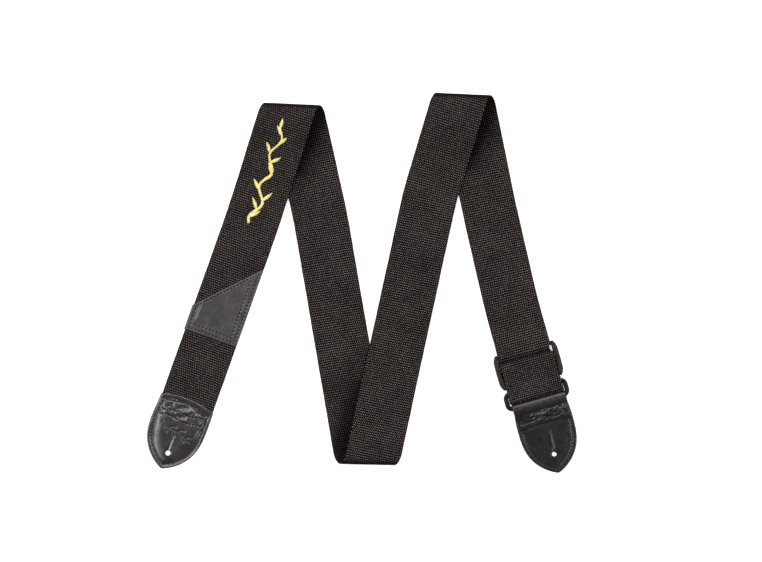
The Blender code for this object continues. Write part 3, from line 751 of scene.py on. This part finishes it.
# ---- stitches
def stitches(path, pitch=STITCH, length=0.72):
    """Centrelines of a row's stitches along a plan path, and how far each dips into the leather."""
    path = np.asarray(path, float)
    run = run_along(path)
    count = max(1, round(run[-1] / pitch))
    pitch = run[-1] / count
    starts = (np.arange(count) + 0.5 - length / 2) * pitch
    at = starts[:, None] + np.linspace(0, length * pitch, 7)[None]
    sink = 0.00045 * (1 - np.sin(np.pi * np.linspace(0, 1, 7)) ** 0.6)
    return at_length(at, run, path), np.repeat(sink[None], count, 0)


def beside_row(points, path, pitch):
    """Distance to a row of stitches, and 1 beside a needle hole to -1 beside a stitch's middle."""
    dist, place = nearest(points, path)
    run = run_along(path)[-1]
    return dist, np.cos(math.tau * place * max(1, round(run / pitch)) / run)


def puckers(points, path, depth, width, pitch=STITCH):
    """Groove along a row of stitches, deepest at the needle holes."""
    dist, beside = beside_row(points, path, pitch)
    hole = 0.5 + 0.5 * beside
    groove = bell(dist, width) * (0.45 + 0.55 * hole) + 0.4 * bell(dist, width * 0.6) * hole ** 3
    return -depth * groove


def stitch_shade(points, path, width, pitch=STITCH):
    """How far the leather lies in the shadow of a row's stitches, 0 to 1; the leather's colour carries it
    as painted shadow.
    """
    dist, beside = beside_row(points, path, pitch)
    return np.clip(1.3 * bell(dist, width) * (0.5 - 0.75 * beside), 0, 1)


def worn(dist, depth, width):
    """How far a plate's rounded edge lies below its face."""
    return depth * (1 - smooth(dist / width)) ** 2


def leather_sheet(cut):
    """Takes the outline that a leather piece was cut to, and does nothing with it."""
    cut = np.asarray(cut, float)


# ---- leather ends
def end_outline(length, mouth, power, arch):
    """Outline of a leather end as (w, c): mouth edge first, then round the pointed tip."""
    start = 0.3 * length

    def half(w):
        x = max(0.0, (w - start) / (length - start))
        wide = mouth + (LEATHER_HALF - mouth) * float(smooth(w / start))
        return wide * (1 - min(x, 1.0) ** power) ** 0.8

    steps = [length * (1 - (1 - t) ** 2) for t in np.linspace(0, 1, 61)]
    edge = [(-arch * (1 - (c / mouth) ** 2), c) for c in np.linspace(-mouth, mouth, 33)]
    right = [(w, half(w)) for w in steps[1:-1]]
    return edge + right + [(length, 0.0)] + [(w, -c) for w, c in reversed(right)]


def keyhole(w, c, top, radius=HOLE_R):
    """Button hole with a slit running up to w = top."""
    angles = np.radians(np.linspace(180 + 8, 540 - 8, 33))
    ring = [(w + radius * math.cos(a), c + radius * math.sin(a)) for a in angles]
    return ring + [(top, c + SLIT / 2), (top, c - SLIT / 2)]


def row_of(path, at, height, name, mat, body, *nodes, radius=THREAD, proud=None, **spacing):
    """A row of stitches on leather: at places plan points, height gives the leather's face there.

    The thread's centre lies proud of that face, by 0.7 of its radius where nothing else is said.
    """
    proud = radius * 0.7 if proud is None else proud
    plan, sink = stitches(path, **spacing)
    flat = plan.reshape(-1, 2)
    lines = at(*flat.T, height(flat) - sink.ravel() + proud).reshape(*plan.shape[:2], 3)
    return ride_for(threads(name, lines, radius, mat), body, *nodes)


def perimeter_line(outline, by, beyond):
    """The seam beside an end's rim, from one side of w = beyond round the tip to the other."""
    line = np.array([p for p in inset(outline, by) if p[0] > beyond])
    gap = int(np.argmax(np.diff(run_along(loop_of(line)))))
    return np.roll(line, -gap - 1, axis=0)


def face(at, height):
    """A plate's surface, from its height at plan points and their distance to the rim."""
    return lambda points, dist: at(*points.T, height(points, dist))


def back_leather(name, where, rim, hole, perimeter, leather):
    """The back leather of an end; its hole is a little smaller than the front's and off its centre."""
    def low(points, dist):
        return worn(dist, 0.00045, 0.001) - puckers(points, perimeter, 0.00022, 0.00055)

    back = plate(f"{name}_leather_back", rim, [hole], face(where.at, low),
                 face(where.at, lambda points, dist: LEATHER_T), leather, 0.001)
    return ride_for(back, name, f"{name}_back")


def back_seam(name, where, rim, perimeter, thread):
    """The other side of an end's perimeter seam."""
    under = row_of(perimeter, where.at, lambda points: BACK_SEAM, f"{name}_back_stitches", thread, name)
    leather_sheet(rim)


def build_end_a(leather, thread):
    outline = end_outline(END_A_LENGTH, END_A_MOUTH, 2.7, END_A_ARCH)
    rim = dense(outline, 0.0007)
    half = END_A_MOUTH - 0.0062
    across = np.linspace(-half, half, 60)
    perimeter = perimeter_line(outline, 0.004, 0.0012)
    rows = {
        "mouth": [(0.0042 - END_A_ARCH * (1 - (c / half) ** 2) + 0.0005 * math.sin(c * 420), c)
                  for c in across],
        "middle": [(0.0102 - 0.07 * c + 0.0008 * math.sin(c * 260), c) for c in across],
        "lower": [(0.0166 - 0.04 * c + 0.001 * math.sin(c * 200 + 0.6), c) for c in across],
    }

    def bed(points):
        """Height of the front leather's lower face, over the back leather and the webbing sewn in."""
        w, c = points.T
        raised = (WEB_T + AIR) * (1 - smooth((w - INSERT + 0.0004) / 0.02))
        return LEATHER_T + AIR + raised * (1 - 0.25 * smooth((np.abs(c) - 0.0235) / 0.002))

    def surface(points, dist):
        """Height of the front leather's upper face: rim, stitch groove, pillow, rumples and slit."""
        w, c = points.T
        z = bed(points) + LEATHER_T - worn(dist, 0.0004, 0.0009)
        right = smooth((c + 0.004) / 0.01)
        z -= (0.0007 + 0.0007 * right) * bell(dist - 0.004 - 0.0006 * right, 0.002 + 0.0005 * right)
        z += 0.0009 * smooth((dist - 0.0035) / 0.01)
        z += puckers(points, perimeter, 0.00025, 0.0006)
        for path in rows.values():
            z += puckers(points, path, 0.0005, 0.001) * smooth((0.0235 - np.abs(c)) / 0.002)
        rumples = 0.00036 * ripple(w * 1.7, c * 0.8, 0.0095, 11) + 0.00009 * ripple(w, c, 0.0042, 12)
        z += rumples * smooth((0.022 - w) / 0.006) * smooth((dist - 0.002) / 0.003)
        z += 0.00005 * ripple(w, c, 0.016, 13)
        slit = smooth((w - 0.0305) / 0.003) * smooth((0.0465 - w) / 0.002)
        z += (0.00042 * bell(c - 0.0014, 0.0009) - 0.0003 * bell(c + 0.0004, 0.0006)) * slit
        z -= 0.00025 * bell(np.hypot(w - HOLE_A[0], c - HOLE_A[1]) - HOLE_R, 0.0005)
        return z - 0.0006 * leaf_print(points)

    def leaf_print(points):
        """A pressed twig of small leaves between the cross rows and the button hole, 0 to 1."""
        return np.max([bell(nearest(points, leaf)[0], 0.00095) for leaf in pressed_leaves()], axis=0)

    def pressed(points):
        """Where the leather looks darker: the pressed twig's print, and the painted shadow of the
        stitches.
        """
        shade = [stitch_shade(points, path, 0.00075) for path in rows.values()]
        shade += [stitch_shade(points, perimeter, 0.00065), leaf_print(points)]
        return np.max(shade, axis=0)

    def height(points):
        return surface(points, nearest(points, loop_of(rim))[0])

    front = plate("end_a_leather_front", rim, [keyhole(*HOLE_A, SLIT_A)],
                  face(END_A.at, lambda points, dist: bed(points)), face(END_A.at, surface), leather,
                  0.00042, pressed)
    ride_for(front, "end_a", "end_a_front")
    back = back_leather("end_a", END_A, rim, keyhole(0.0491, 0.0004, SLIT_A, 0.0023), perimeter, leather)
    sewn = [row_of(perimeter, END_A.at, height, "end_a_perimeter_stitches", thread, "end_a",
                   "end_a_perimeter_seam")]
    for label, path in rows.items():
        sewn.append(row_of(path, END_A.at, height, f"end_a_{label}_stitches", thread, "end_a",
                           f"end_a_cross_seam_{label}", radius=0.00046))
    leather_sheet(rim)
    back_seam("end_a", END_A, rim, perimeter, thread)


def pressed_leaves():
    """Centrelines of the pressed twig on end A, as plan paths."""
    t = np.linspace(0, 1, 24)
    stem = np.stack([0.0235 + 0.0085 * t + 0.0012 * np.sin(t * 7), -0.015 + 0.029 * t], 1)
    paths = [stem]
    for i, x in enumerate(np.linspace(0.12, 0.88, 6)):
        root = at_length(x, t, stem)
        way = 1 if i % 2 else -1
        a = math.atan2(0.029, 0.0085) + way * 0.75
        u = np.linspace(0, 1, 8)
        bow = 0.0009 * way * np.sin(np.pi * u)
        paths.append(np.stack([root[0] + 0.0064 * u * math.cos(a) - bow * math.sin(a),
                               root[1] + 0.0064 * u * math.sin(a) + bow * math.cos(a)], 1))
    return paths


def build_end_b(leather, thread):
    outline = end_outline(END_B_LENGTH, END_B_MOUTH, 3.0, 0.0)
    half = END_B_MOUTH + 0.0003
    layer = LEATHER_T + AIR

    def cut(first, margin):
        body = [p for p in outline if p[0] > first + margin]
        return dense([(first, -half), (first, half)] + body, 0.0007)

    back_rim, front_rim = cut(END_B_JOINT + AIR, 0.0008), cut(0.0085, 0.001)
    perimeter = perimeter_line(outline, 0.0038, FLAP + 0.0008)

    def surface(points, dist):
        w, c = points.T
        free = smooth((w - FLAP + 0.001) / 0.004)
        z = layer + LEATHER_T - worn(dist, 0.00045, 0.001)
        z += free * (0.00045 * smooth((dist - 0.0038) / 0.009) - 0.00022 * bell(dist - 0.0038, 0.0011))
        z += free * puckers(points, perimeter, 0.0002, 0.00045)
        z += free * (0.00007 * ripple(w, c, 0.02, 23) + 0.00002 * ripple(w, c, 0.006, 24))
        crown = smooth((w - 0.023) / 0.006) * smooth((0.047 - w) / 0.004)
        z += 0.0006 * bell(c - 0.0004, 0.003) * crown
        slit = smooth((w - 0.034) / 0.004) * smooth((0.0485 - w) / 0.002)
        z += (0.00016 * bell(c - 0.0013, 0.0007) - 0.00018 * bell(c + 0.0003, 0.0005)) * slit
        return z - 0.00025 * bell(np.hypot(w - HOLE_B[0], c - HOLE_B[1]) - HOLE_R, 0.0005)

    # Painted shadow of the perimeter stitches, darkening the leather's colour.
    def painted_stitch_shadow(points):
        return 0.8 * stitch_shade(points, perimeter, 0.0005)

    def height(points):
        return surface(points, nearest(points, loop_of(front_rim))[0])

    front = plate("end_b_leather_front", front_rim, [keyhole(*HOLE_B, SLIT_B)],
                  face(END_B.at, lambda points, dist: layer), face(END_B.at, surface), leather,
                  0.0005, painted_stitch_shadow)
    ride_for(front, "end_b", "end_b_front")
    back = back_leather("end_b", END_B, back_rim, keyhole(0.0504, 0.0005, SLIT_B, 0.0021), perimeter,
                        leather)
    wrap, long = build_wrap(leather)
    ride_for(wrap, "end_b", "end_b_wrap")
    edge = row_of(perimeter, END_B.at, height, "end_b_perimeter_stitches", thread, "end_b",
                  "end_b_perimeter_seam")
    cross = [(flap_seam(c), c) for c in np.linspace(-FLAP_SEAM, FLAP_SEAM, 60)]
    seam = row_of(cross, END_B.at, lambda points: 2 * layer + LEATHER_T - 0.00035,
                  "end_b_cross_stitches", thread, "end_b", "end_b_cross_seam")
    leather_sheet(front_rim)
    back_seam("end_b", END_B, back_rim, perimeter, thread)
    flat = [(0.0, -END_B_MOUTH), (0.0, END_B_MOUTH), (long, END_B_MOUTH), (long, -END_B_MOUTH)]
    leather_sheet(flat)


def flap_seam(c):
    """Where the bowed seam through the flap lies, across end B."""
    return 0.0165 - 0.0014 * (1 - (c / FLAP_SEAM) ** 2)


def build_wrap(leather):
    """The leather that wraps the ring's lower rod: flap on top, wrinkled where it is drawn together."""
    around = RING_R + 0.0004 + LEATHER_T / 2
    rest = 2.5 * LEATHER_T + 2 * AIR
    path = [(w, rest) for w in np.linspace(FLAP, 0.015, 12)]
    path += [(w, rest + (RING_Z + around - rest) * float(smooth((0.015 - w) / 0.0145)))
             for w in np.linspace(0.0145, 0.0006, 22)]
    path += arc(0.0, RING_Z, around, 90, 270, 25)
    low = RING_Z - around - LEATHER_T / 2
    path += [(w, LEATHER_T / 2 + low * float(smooth((0.009 - w) / 0.009)))
             for w in np.linspace(0.0006, END_B_JOINT, 14)]
    way = Way(path, END_B)
    half = END_B_MOUTH
    v = np.linspace(-half, half, 150)
    cut = 0.0002 + 0.0014 * (1 - (v / half) ** 2) + 0.0001 * np.sin(v * 700)
    share = np.linspace(0, 1, 190)
    grid_s = cut[None] + share[:, None] * (way.length - cut[None])
    grid_v = np.repeat(v[None], len(share), 0)
    w = np.interp(grid_s, way.s, way.p[:, 0])
    on_top = grid_s < way.length * 0.5
    side = smooth((grid_v + 0.013) / 0.01) * smooth((0.0245 - grid_v) / 0.003)
    drawn = on_top * smooth((w - 0.006) / 0.003) * smooth((0.019 - w) / 0.003) * (0.25 + 0.75 * side)
    seam = flap_seam(grid_v)
    sewn = smooth((0.0225 - np.abs(grid_v)) / 0.001)
    relief = 0.0012 * drawn * np.abs(ripple(w * 1.5 + grid_v * 0.5, grid_v * 0.8, 0.009, 31)) ** 0.8
    relief += 0.0003 * drawn * ripple(w, grid_v * 0.8, 0.0034, 32)
    relief += 0.0006 * bell(w - 0.0105 - 0.06 * grid_v, 0.0024) * on_top * side
    inner = smooth((0.024 - np.abs(grid_v)) / 0.002)
    relief += 0.0003 * bell(w - 0.01, 0.0012) * on_top * (1 - side) * inner
    relief -= 0.0005 * bell(w - seam, 0.0008) * on_top * sewn
    relief += 0.00115 * bell(w - 0.0038, 0.0027) * on_top
    relief += on_top * 0.00004 * ripple(w, grid_v, 0.012, 33)
    soft = np.minimum(half - np.abs(grid_v), np.minimum(grid_s - cut[None], way.length - grid_s) + 0.0002)
    round_off = worn(soft, 0.0005, 0.001)
    top = way(grid_s, grid_v, round_off - LEATHER_T / 2 - relief)
    low_side = way(grid_s, grid_v, LEATHER_T / 2 - round_off * 0.3)
    rings = np.concatenate([top, low_side[:, ::-1]], 1)
    count = rings.shape[1]
    # Painted shade: the leather's colour is darkened along the seam's crease on the flap.
    crease = 0.4 * bell(w - seam, 0.0005) * on_top * sewn
    marks = {"dark": np.concatenate([crease, 0 * crease], 1).ravel()}
    piece = make_piece("end_b_leather_wrap", rings.reshape(-1, 3), tube_faces(len(share), count), leather,
                       marks)
    return piece, way.length


# ---- pocket
def build_pocket(leather, thread):
    """The leather pocket on leg 1, sewn along its side and lower edges, with a slanted mouth."""
    half = WEB_W / 2
    base = WEB_T / 2 + 0.00008
    slope = (POCKET_RIGHT - POCKET_LEFT) / WEB_W

    def mouth(v, down):
        return POCKET_LEFT + slope * (half - v) - down

    outline = [(POCKET_LOW, -half), (POCKET_RIGHT, -half), (POCKET_LEFT, half + 0.001),
               (POCKET_LOW, half + 0.001)]
    rows = {
        "outer": [(mouth(half - 0.003, 0.004), half - 0.003), (POCKET_LOW + 0.003, half - 0.003),
                  (POCKET_LOW + 0.003, 0.003 - half), (mouth(0.003 - half, 0.005), 0.003 - half)],
        "inner": [(POCKET_LOW + 0.007, half - 0.006), (POCKET_LOW + 0.007, 0.0075 - half),
                  (mouth(0.0075 - half, 0.005), 0.0075 - half)],
        "mouth": [(mouth(v, 0.0026), v) for v in (half - 0.005, 0.01 - half)],
    }

    def surface(points, dist):
        """Height of the panel's upper face above the webbing's middle."""
        s, v = points.T
        z = base + POCKET_T - worn(dist, 0.0005, 0.001)
        for path in rows.values():
            z += puckers(points, path, 0.00026, 0.0006, POCKET_STITCH)
        z += 0.00007 * ripple(s, v, 0.016, 41) + 0.00003 * ripple(s, v, 0.005, 42)
        return z + gape(s, v)

    def gape(s, v):
        """The unsewn middle stands off the webbing, most at its left side."""
        from_left = half - 0.0046 - v
        along = smooth((s - POCKET_LOW - 0.0075) / 0.011)
        return 0.0009 * smooth(from_left / 0.003) * (1 - smooth(from_left / 0.036)) * along

    # Painted shadow of the pocket's stitches, darkening the leather's colour.
    def painted_stitch_shadow(points):
        shade = [stitch_shade(points, path, 0.0007, POCKET_STITCH) for path in rows.values()]
        return 0.8 * np.max(shade, axis=0)

    def height(points):
        return surface(points, nearest(points, loop_of(rim))[0])

    rim = dense(outline, 0.0008)
    panel = plate("pocket_leather", rim, [],
                  face(web_point, lambda points, dist: base + 0.8 * gape(*points.T)),
                  face(web_point, surface), leather, 0.00055, painted_stitch_shadow)
    ride_for(panel, "strap", "pocket_panel")
    sewn = [row_of(path, web_point, height, f"pocket_{label}_stitches", thread, "strap",
                   f"pocket_seam_{label}", radius=0.00042, proud=0.0002, pitch=POCKET_STITCH, length=0.66)
            for label, path in rows.items()]
    leather_sheet(outline)


# ---- embroidery
def build_sprig(thread):
    """A waving stem with pointed leaves, in satin stitches laid side by side across each shape."""
    first, last = MOTIF
    span = last - first
    base = WEB_T / 2 + 0.0002
    lines = []

    def stem(x):
        return first + span * x, 0.0042 * np.sin(x * 3 * math.tau + 0.6) * (1 - 0.25 * x)

    def satin(centre, go, half, slant, loft):
        """Stitches across a shape: centre points, directions, half widths and the slant of the stitch."""
        c, s = math.cos(slant), math.sin(slant)
        side = np.stack([-go[:, 1] * c - go[:, 0] * s, go[:, 0] * c - go[:, 1] * s], 1)
        t = np.linspace(-1, 1, 7)
        plan = centre[:, None] + side[:, None] * (half[:, None] * t[None])[:, :, None]
        lift = base + loft * (1 - t[None] ** 2) ** 0.6 * np.minimum(1.0, half / 0.0012)[:, None]
        lines.append(web_point(plan[..., 0], plan[..., 1], lift))

    t = np.linspace(0, 1, 800)
    path = np.stack(stem(t), 1)
    run = run_along(path)
    at = np.arange(0, run[-1], SATIN)
    centre = at_length(at, run, path)
    satin(centre, straight(np.gradient(centre, axis=0)), 0.0015 * (1 - 0.38 * at / run[-1]), 0.35, 0.0007)

    leaves = [(stem(x), (1 if i % 2 else -1) * (44 - 6 * (i % 3)), 0.0125 - 0.0003 * i, 0.0019)
              for i, x in enumerate(np.linspace(0.05, 0.93, 10))]
    leaves.append((stem(0.985), 4, 0.01, 0.0018))
    for root, angle, length, wide in leaves:
        u = np.arange(0.0003, length - 0.0003, SATIN) / length
        go = np.tile(unit(angle), (len(u), 1))
        centre = np.array(root)[None] + go * (u * length)[:, None]
        half = wide * np.sin(np.pi * u ** 0.8) ** 0.9
        satin(centre, go, half, 0.55, 0.0009)
    obj = threads("sprig_satin_stitches", np.concatenate(lines), 0.00021, thread)
    ride_for(obj, "strap", "embroidered_sprig")


# ---- slider and ring
def rounded(width, height, corner, steps=5):
    """A rounded rectangle as (across, up) points."""
    points = []
    for x, y, first in ((1, 1, 0), (-1, 1, 90), (-1, -1, 180), (1, -1, 270)):
        for a in np.radians(np.linspace(first, first + 90, steps)):
            points.append((x * (width / 2 - corner) + corner * math.cos(a),
                           y * (height / 2 - corner) + corner * math.sin(a)))
    return points


def build_slider(plastic, thread):
    """Two bowed rails with round ends and three bars, as one moulding, and the tack that sews the loop."""
    rail = SLIDER_WIDE / 2 - RAIL / 2
    end = SLIDER_LONG / 2
    inner = SLIDER_WIDE / 2 - RAIL - 0.00015
    parts = []
    t = np.sin(np.linspace(-90, 90, 61) * math.pi / 180)
    for side in (-1, 1):
        outside = SLIDER_WIDE / 2 + 0.0006 * (1 - t ** 2) - 0.0016 * smooth((np.abs(t) - 0.6) / 0.4)
        path = SLIDER.at(t * (end - 0.0002), side * (inner + outside) / 2, np.full(61, BAR_Z))
        size = np.sqrt(np.clip(1 - ((np.abs(t) - 0.87) / 0.131).clip(0) ** 2, 0.02, 1))
        parts.append((path, rounded(RAIL, RAIL_H, 0.0018), size, size * (outside - inner) / RAIL))
    outer = end - BAR_W / 2
    for w, z, soft in ((-outer, BAR_Z, 0.0012), (outer, BAR_Z, 0.0012), (MID_W, MID_Z, 0.00145)):
        path = SLIDER.at(np.full(9, w), np.linspace(-rail, rail, 9), np.full(9, z))
        parts.append((path, rounded(BAR_W, BAR_H, soft), None, None))
    pieces = [sweep(f"slider_part_{i}", path, section, plastic, sizes=size, widths=width)
              for i, (path, section, size, width) in enumerate(parts)]
    body = pieces[0]
    for i, tool in enumerate(pieces[1:]):
        union = body.modifiers.new(f"join_{i}", "BOOLEAN")
        union.operation = "UNION"
        union.solver = "EXACT"
        union.object = tool
    mesh = bpy.data.meshes.new_from_object(body.evaluated_get(bpy.context.evaluated_depsgraph_get()))
    body.modifiers.clear()
    body.data = mesh
    for tool in pieces[1:]:
        bpy.data.objects.remove(tool)
    body.name = "slider_body"
    mesh.shade_smooth()
    mesh.set_sharp_from_angle(angle=math.radians(40))
    ride_for(body, "slider", "slider_frame")

    half, count = 0.0215, 30
    knots = [(0.0062 + (0.0014 if i % 2 else -0.0014), -half + 2 * half * i / count)
             for i in range(count + 1)]
    lines = []
    for a, b in zip(knots, knots[1:]):
        u = np.linspace(0, 1, 6)
        w, c = a[0] + (b[0] - a[0]) * u, a[1] + (b[1] - a[1]) * u
        z = np.array([over(x) for x in w]) + WEB_T / 2 + 0.00012 * np.sin(np.pi * u) ** 0.5 - 0.0001
        lines.append(SLIDER.at(w, c, z))
    tack = threads("slider_bar_tack_stitches", lines, 0.0002, thread)
    SLIDER.at(0.002, 0.0, 0.0)
    SLIDER.at(0.0235, 0.0, 0.0)
    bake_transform(tack)
    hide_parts("slider_bar_tack")


def build_ring(metal):
    """Closed rectangular ring of round rod."""
    middle = (RING_UP + RING_LOW) / 2
    path = [SLIDER.at(middle - w, c, RING_Z)
            for c, w in rounded(2 * RING_HALF, RING_LOW - RING_UP, 0.004, 11)]
    angle = np.linspace(0, math.tau, 16, endpoint=False)
    section = np.stack([np.cos(angle), np.sin(angle)], 1) * RING_R
    ring = sweep("ring_rod", path, section, metal, closed=True)
    ride_for(ring, "ring", "ring")


# ---- studio
def build_studio():
    """Camera straight above with a long lens, pale table, main soft light from the left."""
    camera = show("camera", bpy.data.cameras.new("camera"))
    lens, sensor, wide = 200, 36, 0.701
    camera.data.lens, camera.data.sensor_width = lens, sensor
    camera.location = (0.0175, 0.0017, wide * lens / sensor + 0.005)
    camera.data.clip_end = 50
    bpy.context.scene.camera = camera

    paper = Nodes("paper", (0.96, 0.96, 0.955), 0.9, Emission_Strength=0.7)
    mesh = bpy.data.meshes.new("floor")
    mesh.from_pydata([(4 * x, 4 * y, -0.0002) for x, y in ((-1, -1), (1, -1), (1, 1), (-1, 1))], [],
                     [(0, 1, 2, 3)])
    mesh.materials.append(paper.mat)
    show("floor", mesh)

    world = bpy.data.worlds.new("studio")
    world.use_nodes = True
    sky = world.node_tree.nodes["Background"].inputs
    sky["Color"].default_value, sky["Strength"].default_value = (1.0, 1.0, 1.0, 1.0), 0.16
    bpy.context.scene.world = world
    for name, place, power, width, height in (
        ("left_strip", (-1.2, 0.15, 1.9), 24, 2.0, 0.4),
        ("right_strip", (1.3, -0.1, 1.9), 14, 2.0, 0.3),
        ("back_strip", (0.0, 1.3, 1.9), 19, 2.0, 0.4),
        ("left", (-1.9, 0.2, 1.2), 5, 1.8, 0.8),
        ("right", (1.9, -0.3, 1.2), 5, 1.8, 0.8),
        ("back", (0.0, 1.9, 1.4), 7, 1.8, 0.6),
    ):
        light = show(name, bpy.data.lights.new(name, "AREA"))
        light.data.energy = power
        light.data.shape = "RECTANGLE"
        light.data.size, light.data.size_y = width, height
        light.location = place
        light.rotation_euler = (-Vector(place)).to_track_quat("-Z", "Y").to_euler()
        light.visible_camera = False
    bpy.context.scene.view_settings.view_transform = "Standard"


build_studio()
WEBBING = webbing_material()
LEATHER = leather_material("satin_leather", (0.02, 0.016, 0.0177), (0.046, 0.038, 0.0408), 0.25, 0.8)
POCKET = leather_material("pocket_leather", (0.034, 0.0293, 0.0307), (0.07, 0.061, 0.064), 0.32, 0.6)
DARK_LEATHER = leather_material("smooth_leather", (0.0095, 0.007, 0.0078), (0.019, 0.015, 0.0164),
                                0.26, 0.5)
PLASTIC = hard_material("moulded_plastic", (0.0085, 0.0078, 0.0076), 0.42, 0.4,
                        cloud=0.5, roughness=(0.38, 0.55), grain=3.2, depth=0.00003, strength=0.5)
METAL = hard_material("coated_ring", (0.0022, 0.002, 0.0021), 0.36, 0.25,
                      cloud=0.8, roughness=(0.28, 0.44), grain=1.6, depth=0.00002, strength=0.4)
TACK = thread_material("tack_thread", (0.014, 0.011, 0.011), (0.034, 0.03, 0.028), 0.7, 0.15)
BLACK = thread_material("black_thread", (0.003, 0.003, 0.003), (0.008, 0.007, 0.007), 0.75, 0.2)
YELLOW = thread_material("yellow_thread", (0.84, 0.64, 0.14), (1.0, 0.96, 0.5), 0.32, 0.6, 1.2)
build_slider(PLASTIC, TACK)
build_ring(METAL)
build_webbing(WEBBING)
build_end_a(LEATHER, BLACK)
build_pocket(POCKET, BLACK)
build_sprig(YELLOW)
build_end_b(DARK_LEATHER, BLACK)
